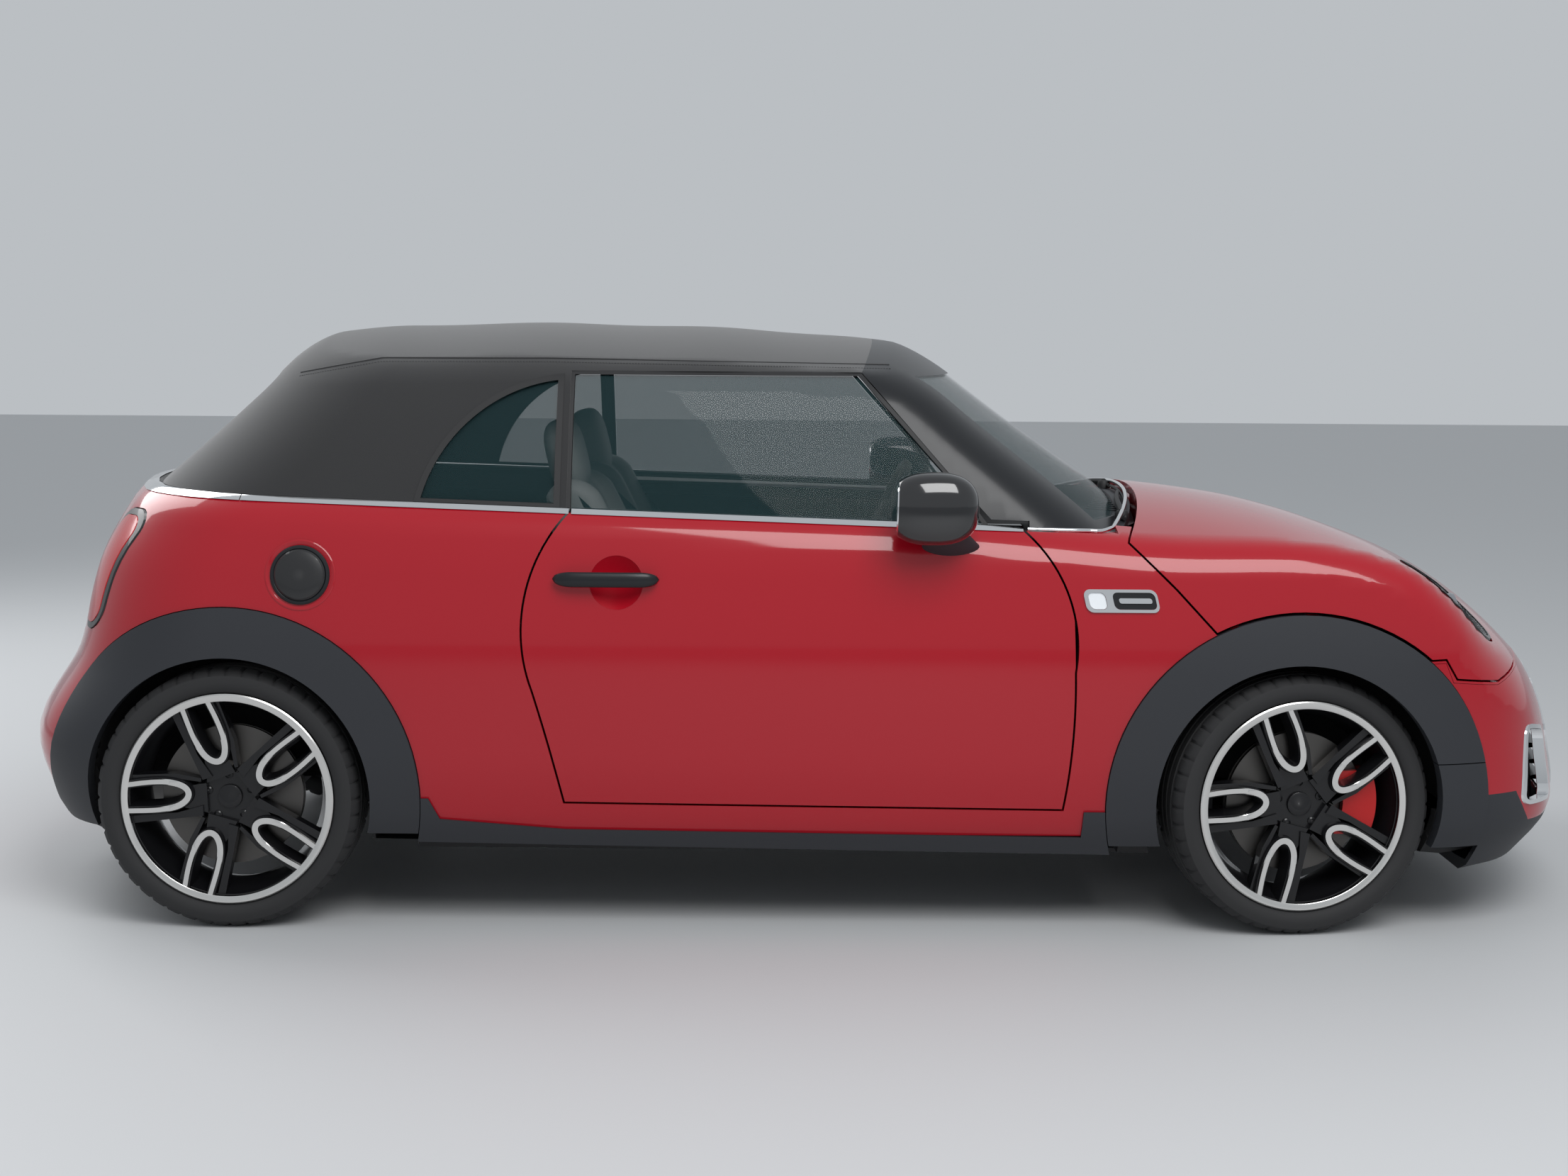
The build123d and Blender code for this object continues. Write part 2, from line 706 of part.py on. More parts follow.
with BuildPart() as quarter_glasses:
    add(glass_shell)
    add(quarter_region, mode=Mode.INTERSECT)
keep(quarter_glasses.part, "quarter_glasses")

with BuildPart() as door_glass_right:
    add(glass_shell)
    add(door_glass_region, mode=Mode.INTERSECT)
keep(door_glass_right.part, "door_glass_right")
keep(mirror(door_glass_right.part, about=Plane.XZ), "door_glass_left")

# Bright strip along the belt, standing out from the hood
with BuildPart() as belt_trim:
    add(canopy(-trim_stand) - canopy(canopy_wall))
    add(trim_band, mode=Mode.INTERSECT)
    add(box(b_post_x - seal_gap, 535, -1000, 1000, 900, 1050), mode=Mode.SUBTRACT)
    add(box(535, 1000, -1000, 1000, 900, 1050), mode=Mode.SUBTRACT)
keep(belt_trim.part, "belt_trim")
# Seats, dashboard, console and rear bench
seat_width = 500
seat_y = 365
cushion_front_x = 40
cushion_rear_x = -430
cushion_z = 480
backrest_top_z = 985
backrest_lean = 150
seat_floor_z = floor_z + floor_thickness
bench_half_width = 490

backrest_depth = 110
bolster_width = 90
bolster_rise = 45
headrest_width = 270
headrest_height = 190
headrest_depth = 95
headrest_z = 1085

# Seat cushion and backrest in side view, for the middle pad and for the higher side bolsters
with BuildPart() as one_seat:
    for rise, near, far in [(0, -seat_width / 2, seat_width / 2), (bolster_rise, -seat_width / 2, bolster_width - seat_width / 2),
                            (bolster_rise, seat_width / 2 - bolster_width, seat_width / 2)]:
        with BuildSketch(Plane.XZ.offset(near)):
            with BuildLine():
                front = ThreePointArc((cushion_front_x - 20, 345), (cushion_front_x + 28, 430), (cushion_front_x - 20, cushion_z + rise / 2))
                ThreePointArc(front @ 1, (-170, cushion_z + rise / 2 - 8), (cushion_rear_x + 75, cushion_z - 30 + rise))
                ThreePointArc((cushion_rear_x + 75, cushion_z - 30 + rise), (cushion_rear_x + 22 + rise / 2, 720),
                              (cushion_rear_x - backrest_lean + 60, backrest_top_z))
                ThreePointArc((cushion_rear_x - backrest_lean + 60, backrest_top_z),
                              (cushion_rear_x - backrest_lean + 20, backrest_top_z + 28),
                              (cushion_rear_x - backrest_lean - 25, backrest_top_z))
                Polyline((cushion_rear_x - backrest_lean - 25, backrest_top_z), (cushion_rear_x - backrest_depth + 25, 470),
                         (cushion_rear_x - 45, 345), front @ 0)
            make_face()
        extrude(amount=far - near)
    with Locations(Location((cushion_rear_x - backrest_lean + 5, 0, headrest_z), (0, -14, 0))):
        Box(headrest_depth, headrest_width, headrest_height)
    fillet(one_seat.edges().group_by(Axis.Z)[-1], 30)
    for post_y in (-60, 60):
        with Locations((cushion_rear_x - backrest_lean + 12, post_y, backrest_top_z + 10)):
            Cylinder(7, 60)
    with Locations(((cushion_front_x + cushion_rear_x) / 2, 0, (seat_floor_z + 360) / 2)):
        Box(400, 400, 360 - seat_floor_z)
with BuildPart() as front_seats:
    add(Location((0, -seat_y, 0)) * one_seat.part)
    add(Location((0, seat_y, 0)) * one_seat.part)
keep(front_seats.part, "front_seats")

with BuildPart() as rear_seat:
    with BuildSketch(Plane.XZ.offset(-bench_half_width)):
        with BuildLine():
            Line((-660, seat_floor_z), (-660, 440))
            ThreePointArc((-660, 440), (-668, 470), (-700, 484))
            ThreePointArc((-700, 484), (-860, 482), (-1010, 440))
            ThreePointArc((-1010, 440), (-1052, 680), (-1110, 880))
            ThreePointArc((-1110, 880), (-1155, 905), (-1200, 880))
            Polyline((-1200, 880), (-1090, 430), (-1090, 421), (-855, 421), (-855, seat_floor_z), (-660, seat_floor_z))
        make_face()
    extrude(amount=2 * bench_half_width)
keep(rear_seat.part, "rear_seat")

dash_outline = polygon(
    (bulkhead_x, 620), (460, 590), (330, 700), (350, 840), (420, 905), (620, 915), (bulkhead_x, 874))
steering_y = seat_y
steering_hub = (235, steering_y, 870)
column_rake_deg = 24
steering_hub_depth = 60
steering_plane = Plane(steering_hub, x_dir=(0, 1, 0), z_dir=(-cos(radians(column_rake_deg)), 0,
                                                            sin(radians(column_rake_deg))))
with BuildPart() as dashboard:
    add(side_block(dash_outline, -685, 685))
    add(cowl.part, mode=Mode.SUBTRACT)
    with BuildSketch(steering_plane.offset(-steering_hub_depth - seat_gap)):
        Circle(24)
    extrude(amount=-160)
keep(dashboard.part, "dashboard")

with BuildPart() as centre_console:
    add(box(-420, 480, -75, 75, seat_floor_z, 420))
    fillet(centre_console.edges().filter_by(Axis.X).group_by(Axis.Z)[-1], 20)
keep(centre_console.part, "centre_console")

# Steering wheel on its column, on the car's left
steering_radius = 185
with BuildPart() as steering_wheel:
    with BuildSketch(Plane(steering_plane.origin, x_dir=steering_plane.z_dir, z_dir=steering_plane.x_dir)):
        with Locations((0, steering_radius - 14)):
            Circle(14)
    revolve(axis=Axis(steering_plane.origin, steering_plane.z_dir))
    with BuildSketch(steering_plane):
        Circle(60)
        for angle in (0, 180, -90):
            with PolarLocations(95, 1, start_angle=angle):
                Rectangle(160, 36)
    extrude(amount=8, both=True)
    with BuildSketch(steering_plane):
        Circle(30)
    extrude(amount=-steering_hub_depth)
keep(steering_wheel.part, "steering_wheel")

# Engine, front subframe with arms, rear carrier, exhaust
keep(box(1100, 1520, -360, 360, 250, 700), "engine")

with BuildPart() as front_subframe:
    add(box(930, 1420, -380, 380, 165, 215))
    for side in (-1, 1):
        with BuildSketch(Plane.XY.offset(ball_seat_z - 12)):
            with BuildLine():
                Polyline((960, side * 370), (front_axle_x - 34, side * 575), (front_axle_x - 34, side * track / 2),
                         (front_axle_x + 34, side * track / 2), (front_axle_x + 34, side * 575),
                         (1400, side * 370), close=True)
            make_face()
            with Locations((front_axle_x, side * track / 2)):
                Circle(ball_seat_radius + seat_gap, mode=Mode.SUBTRACT)
        extrude(amount=24)
    add(both_sides(box(980, 1040, -rail_outer_y + 10, -rail_inner_y + 10, 190, 420)))
    add(both_sides(box(1200, 1260, -340, -280, 210, 250)))
keep(front_subframe.part, "front_subframe")

with BuildPart() as rear_axle:
    add(box(rear_axle_x - 60, rear_axle_x + 60, -540, 540, 230, 290))
    add(both_sides(box(rear_axle_x - 160, rear_axle_x - 100, -440, -380, 230, rear_floor_z)))
    add(both_sides(box(rear_axle_x - 160, rear_axle_x + 60, -440, -380, 230, 290)))
    for radius, half_length in [(45, track / 2 - running_gap), (spindle_radius, track / 2 + spindle_length)]:
        with Locations(Plane.XZ.offset(-half_length)):
            with Locations((rear_axle_x, hub_z)):
                Cylinder(radius, 2 * half_length, align=(Align.CENTER, Align.CENTER, Align.MIN))
keep(rear_axle.part, "rear_axle")

with BuildPart() as exhaust:
    add(box(-1660, -1500, -400, 400, 215, 335))
    add(both_sides(box(-1600, -1570, -300, -270, 330, rear_floor_z)))
    for side in (-1, 1):
        with Locations(Plane.YZ.offset(-1925)):
            with Locations((side * 60, 262)):
                Cylinder(38, 270, align=(Align.CENTER, Align.CENTER, Align.MIN))
keep(exhaust.part, "exhaust")

# Door mirrors and fuel cap, side vents
with BuildPart() as mirror_right:
    with Locations((303, -904, 1000)):
        Box(190, 124, 150)
    fillet(mirror_right.edges(), 30)
    with Locations((350, -835, 935)):
        Box(80, 90, 40)
keep(mirror_right.part - door_right.part, "mirror_right")
keep(mirror(mirror_right.part - door_right.part, about=Plane.XZ), "mirror_left")

# Tyres and wheels
rim_seat = rim_radius
half = tyre_width / 2
with BuildPart() as tyre:
    with BuildSketch(Plane.XY):
        with BuildLine():
            Polyline((rim_seat, -rim_width / 2 + 8), (rim_seat + rim_flange, -rim_width / 2 + 3),
                     (rim_seat + rim_flange + 8, -half + 2), (tyre_radius - 40, -half - 2),
                     (tyre_radius - 4, -half + 18), (tyre_radius, -half + 40), (tyre_radius, half - 40),
                     (tyre_radius - 4, half - 18), (tyre_radius - 40, half + 2), (rim_seat + rim_flange + 8, half - 2),
                     (rim_seat + rim_flange, rim_width / 2 - 2), (rim_seat, rim_width / 2 - 8), close=True)
        make_face()
    revolve(axis=Axis.Y)

# Wheel face: five teardrop loops that open onto the rim, each a raised band on a wider web
loop_count = 5
loop_heading_deg = 182.5
loop_band_width = 14
loop_web_width = 30
loop_stand = 8
spoke_depth = 26
hub_disc_radius = 78
loop_tip = 89


def loop_outline(width):
    """The loop's band in the wheel's face, of the given width: a straight arm, a round tip and a bowed arm."""
    with BuildSketch() as band:
        with BuildLine():
            Line((242, 19), (142, 19))
            ThreePointArc((142, 19), (loop_tip, -14), (138, -45))
            ThreePointArc((138, -45), (190, -48), (242, -42))
        trace(line_width=width)
    return band.sketch


loop_band = loop_outline(loop_band_width)
loop_web = loop_outline(loop_web_width)

with BuildPart() as rim:
    with BuildSketch(Plane.XY):
        with BuildLine():
            Polyline((rim_seat, -rim_width / 2 + 8), (rim_seat + rim_flange, -rim_width / 2 + 3),
                     (rim_seat + rim_flange, -rim_width / 2 - 9), (rim_seat - 6, -rim_width / 2 - 9),
                     (rim_seat - rim_wall, -rim_width / 2 + 20), (rim_seat - rim_wall, rim_width / 2 - 10),
                     (rim_seat + 10, rim_width / 2), (rim_seat + rim_flange, rim_width / 2 + 8),
                     (rim_seat + rim_flange, rim_width / 2 - 2), (rim_seat, rim_width / 2 - 8), close=True)
        make_face()
    revolve(axis=Axis.Y)
    with BuildSketch(Plane.XZ.offset(rim_width / 2 - spoke_depth)):
        Circle(hub_disc_radius)
        with PolarLocations(0, loop_count, start_angle=loop_heading_deg):
            add(loop_web)
        Circle(rim_seat - rim_wall / 2, mode=Mode.INTERSECT)
    extrude(amount=spoke_depth)
    with BuildSketch(Plane.XZ.offset(rim_width / 2)):
        with PolarLocations(0, loop_count, start_angle=loop_heading_deg):
            add(loop_band)
        Circle(rim_seat - rim_wall / 2, mode=Mode.INTERSECT)
    extrude(amount=loop_stand)
    with Locations(Plane.XZ.offset(0)):
        Cylinder(70, rim_width / 2 + 5, align=(Align.CENTER, Align.CENTER, Align.MIN))
        Cylinder(disc_radius, disc_thickness, align=(Align.CENTER, Align.CENTER, Align.MIN))
        Cylinder(spindle_radius + pin_play, spindle_length + 4, align=(Align.CENTER, Align.CENTER, Align.MIN),
                 mode=Mode.SUBTRACT)

wheel_places = []
for end, axle_x, steer in [("front", front_axle_x, parked_steer_deg), ("rear", rear_axle_x, 0)]:
    for side, sign in [("right", -1), ("left", 1)]:
        turn = 0 if sign < 0 else 180
        place = Location((axle_x, sign * track / 2, hub_z), (0, 0, steer + turn))
        keep(place * tyre.part, f"tyre_{end}_{side}")
        keep(place * rim.part, f"wheel_{end}_{side}")

# Steering knuckles with brake calipers, just inboard of each front disc
caliper_z_half = 75
with BuildPart() as caliper_ring:
    with BuildSketch(Plane.XZ.offset(-24)):
        Circle(disc_radius + 26)
        Circle(disc_radius - 55, mode=Mode.SUBTRACT)
    extrude(amount=24 + disc_thickness + running_gap + 18)
    with BuildSketch(Plane.XZ.offset(-running_gap)):
        Circle(disc_radius + running_gap)
    extrude(amount=disc_thickness + 2 * running_gap, mode=Mode.SUBTRACT)
    add(box(90, 300, -200, 200, -caliper_z_half, caliper_z_half), mode=Mode.INTERSECT)
with BuildPart() as knuckle:
    with BuildSketch(Plane.XZ.offset(-running_gap - 50)):
        Circle(48)
    extrude(amount=50)
    with BuildSketch(Plane.XZ):
        Circle(spindle_radius)
    extrude(amount=spindle_length)
    with BuildSketch(Plane.XZ.offset(-running_gap - 10)):
        Circle(spindle_radius)
    extrude(amount=running_gap + 10)
    add(box(-30, 30, running_gap + 14, running_gap + 38, -115, 75))
    with BuildSketch(Plane.XY.offset(ball_seat_z - hub_z - 16)):
        Circle(ball_seat_radius)
        with Locations((0, -200 + running_gap + 14)):
            Rectangle(400, 400, mode=Mode.SUBTRACT)
        Rectangle(2 * 42, 400, mode=Mode.INTERSECT)
    extrude(amount=32)
    add(box(-100, 170, running_gap + 10, running_gap + 38, -22, 22))
    add(caliper_ring.part)

for side, sign in [("right", -1), ("left", 1)]:
    place = Location((front_axle_x, sign * track / 2, hub_z), (0, 0, parked_steer_deg))
    one = knuckle.part if sign < 0 else mirror(knuckle.part, about=Plane.XZ)
    keep(place * one, f"knuckle_{side}")

# Fuel cap on the right rear wing, side vents behind the front wheels, wipers
fuel_cap_centre = (-1148, 832)
fuel_cap_radius = 68
with BuildPart() as fuel_cap:
    with BuildSketch(Plane.XZ.offset(750)):
        with Locations(fuel_cap_centre):
            Circle(fuel_cap_radius)
    extrude(amount=200)
    add(hull(-4), mode=Mode.INTERSECT)
    add(outer_hull, mode=Mode.SUBTRACT)
keep(fuel_cap.part, "fuel_cap")

with BuildPart() as side_vents:
    with BuildSketch(Plane.XZ.offset(750)):
        with Locations((748, 786)):
            RectangleRounded(168, 54, 20)
    extrude(amount=200)
    mirror(about=Plane.XZ)
    add(hull(-4), mode=Mode.INTERSECT)
    add(outer_hull, mode=Mode.SUBTRACT)
keep(side_vents.part, "side_vents")

wiper_thickness = 12
wiper_setback = 28
with BuildSketch() as wiper_plan:
    for start, end in [(-560, 40), (70, 560)]:
        with BuildLine() as blade:
            points = [(bonnet_rear_x - wiper_setback - 103 * (y / 820) ** 2, y) for y in (start, (start + end) / 2, end)]
            ThreePointArc(*points)
        trace(line_width=16)
with BuildPart() as wipers:
    add(plan_block(wiper_plan.sketch, 900, 1100))
    add(crown(CROWN_STATIONS, crown_edge_y, wing_y, cowl_drop - wiper_thickness), mode=Mode.INTERSECT)
    add(cowl_top, mode=Mode.SUBTRACT)
keep(wipers.part, "wipers")
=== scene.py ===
"""The looks of a small soft-top convertible car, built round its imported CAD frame. Metres."""
import math

import bmesh
import bpy
import numpy as np
from mathutils import Matrix, Vector


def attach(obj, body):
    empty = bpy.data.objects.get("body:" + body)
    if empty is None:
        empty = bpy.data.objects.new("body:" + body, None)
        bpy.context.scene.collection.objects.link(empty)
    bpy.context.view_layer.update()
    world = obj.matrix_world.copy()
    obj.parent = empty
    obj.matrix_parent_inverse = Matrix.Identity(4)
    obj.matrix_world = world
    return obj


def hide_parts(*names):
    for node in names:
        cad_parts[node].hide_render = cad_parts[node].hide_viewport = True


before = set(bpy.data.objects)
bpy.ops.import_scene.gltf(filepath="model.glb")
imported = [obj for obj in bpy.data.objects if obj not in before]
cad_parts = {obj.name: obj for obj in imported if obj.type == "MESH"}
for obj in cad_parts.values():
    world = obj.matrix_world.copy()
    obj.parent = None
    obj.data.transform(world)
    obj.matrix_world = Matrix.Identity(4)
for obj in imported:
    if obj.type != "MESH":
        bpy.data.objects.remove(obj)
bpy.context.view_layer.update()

scene = bpy.context.scene

# Body skin: the wings, sides and tail, pressed from steel sheet, welded and painted a deep gloss red.
# All panels are cut from one flowing form, bowed at nose and tail and tucked in towards the belt. It is
# measured outwards from plan outlines at six heights and arched sections at twelve stations.

# height, nose x, tail x, half width, nose corner, tail corner
HULL_OUTLINES = np.array([
    (0.130, 1.850, -1.780, 0.765, 0.350, 0.300),
    (0.270, 1.950, -1.890, 0.822, 0.400, 0.330),
    (0.410, 1.930, -1.936, 0.842, 0.415, 0.340),
    (0.620, 1.907, -1.830, 0.8495, 0.420, 0.350),
    (0.830, 1.890, -1.775, 0.832, 0.420, 0.360),
    (1.060, 1.860, -1.640, 0.778, 0.420, 0.380),
])
# station x, centre height, wing height
BONNET_SECTIONS = np.array([
    (-1.990, 1.052, 1.030), (0.300, 1.040, 0.985), (0.870, 1.006, 0.942), (1.120, 0.974, 0.932),
    (1.270, 0.940, 0.912), (1.420, 0.891, 0.868), (1.540, 0.842, 0.786), (1.630, 0.792, 0.690),
    (1.730, 0.718, 0.585), (1.820, 0.632, 0.470), (1.890, 0.550, 0.370), (1.960, 0.440, 0.220),
])
BODY_FORM = {"outlines": HULL_OUTLINES, "sections": BONNET_SECTIONS, "edge": (0.950, 0.680),
             "bows": (1.450, 1.800), "shoulder": 0.065, "floor": 0.130}
SIDE_BULGE = 0.014


def smooth_rows(table, at):
    """Rows of a table between its first-column values, without overshoot."""
    keys, values = table[:, 0], table[:, 1:]
    step = np.diff(keys)[:, None]
    rise = np.diff(values, axis=0) / step
    slope = np.zeros_like(values)
    same = rise[:-1] * rise[1:] > 0
    near, far = 2 * step[1:] + step[:-1], step[1:] + 2 * step[:-1]
    with np.errstate(divide="ignore", invalid="ignore"):
        mean = (near + far) / (near / rise[:-1] + far / rise[1:])
    slope[1:-1] = np.where(same, mean, 0)
    slope[0], slope[-1] = rise[0], rise[-1]
    at = np.clip(at, keys[0], keys[-1])
    i = np.clip(np.searchsorted(keys, at, side="right") - 1, 0, len(keys) - 2)
    width = step[i, 0]
    t = ((at - keys[i]) / width)[:, None]
    width = width[:, None]
    return ((1 + 2 * t) * (1 - t) ** 2 * values[i] + t * (1 - t) ** 2 * width * slope[i]
            + t * t * (3 - 2 * t) * values[i + 1] + t * t * (t - 1) * width * slope[i + 1])


def plan_distance(x, y, rows, bows):
    """How far points lie outside a plan outline with bowed ends, bulged sides and round corners."""
    nose, tail, half, nose_corner, tail_corner = rows.T
    y = np.abs(y)
    reach = (nose - tail) / 2 - 0.1
    side_radius = (reach ** 2 + SIDE_BULGE ** 2) / (2 * SIDE_BULGE)
    side_y = half + SIDE_BULGE - side_radius
    side = np.hypot(x, y - side_y) - side_radius
    result = side
    for sign, end, corner, bow in ((1, nose, nose_corner, bows[0]), (-1, -tail, tail_corner, bows[1])):
        along = sign * x
        end_x = end - bow
        bowed = np.hypot(along - end_x, y) - bow
        reach_end, reach_side = bow - corner, side_radius - corner
        apart = np.hypot(end_x, side_y)
        a = (reach_end ** 2 - reach_side ** 2 + apart ** 2) / (2 * apart)
        h = np.sqrt(np.maximum(reach_end ** 2 - a ** 2, 0))
        to_side = np.stack([-end_x, side_y]) / apart
        centre = np.stack([end_x, 0 * end_x]) + a * to_side + h * np.stack([-to_side[1], to_side[0]])
        e1 = (centre - np.stack([end_x, 0 * end_x])) / reach_end
        e2 = (centre - np.stack([0 * end_x, side_y])) / reach_side
        p = np.stack([along, y]) - centre
        cross = e1[0] * e2[1] - e1[1] * e2[0]
        u = (p[0] * e2[1] - p[1] * e2[0]) / cross
        v = (e1[0] * p[1] - e1[1] * p[0]) / cross
        corner_zone = (u > 0) & (v > 0)
        this_end = np.where(corner_zone, np.hypot(p[0], p[1]) - corner, np.maximum(bowed, side))
        result = np.where(along > 0, this_end, result)
    return result


def top_height(x, y, sections, edge):
    """Height of the arched top above plan points."""
    centre, wing = smooth_rows(sections, x).T
    drop = np.maximum((centre - wing) * (edge[0] / edge[1]) ** 2, 1e-4)
    radius = (edge[0] ** 2 + drop ** 2) / (2 * drop)
    return centre - radius + np.sqrt(np.maximum(radius ** 2 - y ** 2, 1e-6))


def form_distance(form, p):
    """Distance of points outside a form; the shoulder between sides and top is rounded."""
    x, y, z = p.T
    side = plan_distance(x, y, smooth_rows(form["outlines"], z), form["bows"])
    top = top_height(x, y, form["sections"], form["edge"])
    lean = (top_height(x + 0.01, y, form["sections"], form["edge"]) - top) / 0.01
    fall = (top_height(x, y + 0.01, form["sections"], form["edge"]) - top) / 0.01
    above = (z - top) / np.sqrt(1 + lean ** 2 + fall ** 2)
    if "ripples" in form:
        above = above - form["ripples"](x, y)
    r = form["shoulder"]
    both = (above > -r) & (side > -r)
    outside = np.where(both, np.hypot(above + r, side + r) - r, np.maximum(above, side))
    return np.maximum(outside, form["floor"] - z)


def form_solid(form, level, spine, columns=(90, 150), rows=100):
    """A closed mesh of the form at a level, found along rays from a line inside it."""
    front, rear, height = spine
    turn, run = columns
    angles = np.linspace(-90, 90, turn, endpoint=False)
    left_run = np.linspace(front, rear, run, endpoint=False)
    right_run = np.linspace(rear, front, run, endpoint=False)
    starts = np.array([(front, a) for a in angles] + [(x, 90) for x in left_run]
                      + [(rear, a + 180) for a in angles] + [(x, -90) for x in right_run])
    count = len(starts)
    rise = np.radians(np.linspace(-90, 90, rows))
    heading = np.radians(starts[:, 1])
    d = np.stack([np.cos(rise)[:, None] * np.cos(heading), np.cos(rise)[:, None] * np.sin(heading),
                  np.sin(rise)[:, None] + 0 * heading], -1).reshape(-1, 3)
    o = np.stack([starts[:, 0], np.zeros(count), np.full(count, height)], -1)
    o = np.tile(o, (rows, 1))
    low, high = np.zeros(len(d)), np.full(len(d), 2.2)
    for _ in range(26):
        middle = (low + high) / 2
        outside = form_distance(form, o + d * middle[:, None]) > level
        high, low = np.where(outside, middle, high), np.where(outside, low, middle)
    points = o + d * low[:, None]
    r, c = np.meshgrid(np.arange(rows - 1), np.arange(count), indexing="ij")
    n = (c + 1) % count
    faces = np.stack([r * count + c, r * count + n, (r + 1) * count + n, (r + 1) * count + c], -1)
    faces = faces.reshape(-1, 4)
    mesh = bpy.data.meshes.new("form")
    mesh.from_pydata(points.tolist(), [], faces.tolist())
    tidy = bmesh.new()
    tidy.from_mesh(mesh)
    bmesh.ops.remove_doubles(tidy, verts=tidy.verts, dist=2e-5)
    bmesh.ops.recalc_face_normals(tidy, faces=tidy.faces)
    tidy.to_mesh(mesh)
    tidy.free()
    return mesh


def solid_object(name, mesh):
    """A new object of a mesh, lamp or camera, in the scene."""
    thing = bpy.data.objects.new(name, mesh)
    scene.collection.objects.link(thing)
    return thing


def combined(mesh, tool, operation="DIFFERENCE"):
    """A mesh cut by, kept within or joined to another closed mesh."""
    work, other = solid_object("work", mesh), solid_object("other", tool)
    cutter = work.modifiers.new("cut", "BOOLEAN")
    cutter.solver, cutter.operation, cutter.object = "MANIFOLD", operation, other
    result = bpy.data.meshes.new_from_object(work.evaluated_get(bpy.context.evaluated_depsgraph_get()))
    bpy.data.objects.remove(work)
    bpy.data.objects.remove(other)
    return result


def inside(mesh, tool):
    """What of a mesh lies within another closed mesh."""
    return combined(mesh, tool, "INTERSECT")


def joined(*meshes):
    """One mesh of several that may touch but aren't fused."""
    out = bmesh.new()
    for mesh in meshes:
        out.from_mesh(mesh)
    result = bpy.data.meshes.new("joined")
    out.to_mesh(result)
    out.free()
    return result


def mirrored(mesh):
    """The same piece for the car's other side."""
    out = bmesh.new()
    out.from_mesh(mesh)
    bmesh.ops.transform(out, matrix=Matrix.Scale(-1, 4, (0, 1, 0)), verts=out.verts)
    bmesh.ops.reverse_faces(out, faces=out.faces)
    result = bpy.data.meshes.new("mirrored")
    out.to_mesh(result)
    out.free()
    return result


def pair(mesh):
    """A piece of the right side together with its twin on the left."""
    return joined(mesh, mirrored(mesh))


def prism(points, low, high, across="y"):
    """A closed block between two planes: points are (x, z) across y, (y, z) across x or (x, y) across z."""
    place = {"y": lambda a, b, t: (a, t, b), "x": lambda a, b, t: (t, a, b),
             "z": lambda a, b, t: (a, b, t)}[across]
    count = len(points)
    verts = [place(a, b, t) for t in (low, high) for a, b in points]
    faces = [list(range(count)), list(range(2 * count - 1, count - 1, -1))]
    faces += [[i, i + count, (i + 1) % count + count, (i + 1) % count] for i in range(count)]
    mesh = bpy.data.meshes.new("prism")
    mesh.from_pydata(verts, [], faces)
    tidy = bmesh.new()
    tidy.from_mesh(mesh)
    bmesh.ops.recalc_face_normals(tidy, faces=tidy.faces)
    bmesh.ops.triangulate(tidy, faces=[f for f in tidy.faces if len(f.verts) > 4])
    tidy.to_mesh(mesh)
    tidy.free()
    return mesh


def arc(start, middle, end, steps=24):
    """Points on the arc through three points, without its last one."""
    (ax, ay), (bx, by), (cx, cy) = start, middle, end
    d = 2 * (ax * (by - cy) + bx * (cy - ay) + cx * (ay - by))
    aa, bb, cc = ax * ax + ay * ay, bx * bx + by * by, cx * cx + cy * cy
    ux = (aa * (by - cy) + bb * (cy - ay) + cc * (ay - by)) / d
    uy = (aa * (cx - bx) + bb * (ax - cx) + cc * (bx - ax)) / d
    radius = math.hypot(ax - ux, ay - uy)
    a, b, c = (math.atan2(y - uy, x - ux) for x, y in (start, middle, end))
    turn = (c - a) % (2 * math.pi)
    if (b - a) % (2 * math.pi) > turn:
        turn -= 2 * math.pi
    return [(ux + radius * math.cos(a + turn * i / steps), uy + radius * math.sin(a + turn * i / steps))
            for i in range(steps)]


def widened(points, gap):
    """A closed outline moved outwards by gap."""
    p = np.array(points)
    along = np.roll(p, -1, 0) - p
    along /= np.linalg.norm(along, axis=1)[:, None]
    area = np.sum(p[:, 0] * np.roll(p[:, 1], -1) - np.roll(p[:, 0], -1) * p[:, 1])
    normal = np.stack([along[:, 1], -along[:, 0]], 1) * (1 if area > 0 else -1)
    before = np.roll(normal, 1, 0)
    corner = normal + before
    corner /= np.maximum(np.sum(corner * normal, 1), 0.35)[:, None]
    return (p + gap * corner).tolist()


def ring(centre, radius, steps=96):
    """Points on a circle."""
    return [(centre[0] + radius * math.cos(2 * math.pi * i / steps),
             centre[1] + radius * math.sin(2 * math.pi * i / steps))
            for i in range(steps)]


def corner_arcs(corners, radius, steps):
    """Quarter circles round corner centres, each given with the angle at which its circle starts."""
    return [(a + radius * math.cos(math.radians(start + 90 / (steps - 1) * i)),
             b + radius * math.sin(math.radians(start + 90 / (steps - 1) * i)))
            for a, b, start in corners for i in range(steps)]


def rectangle(left, right, low, high):
    """The four corners of an upright rectangle."""
    return [(left, low), (right, low), (right, high), (left, high)]


def gradient(form, p):
    """The directions in which points leave a form."""
    step = 5e-4
    g = np.stack([form_distance(form, p + step * a) - form_distance(form, p - step * a) for a in np.eye(3)], 1)
    return g / np.maximum(np.linalg.norm(g, axis=1), 1e-9)[:, None]


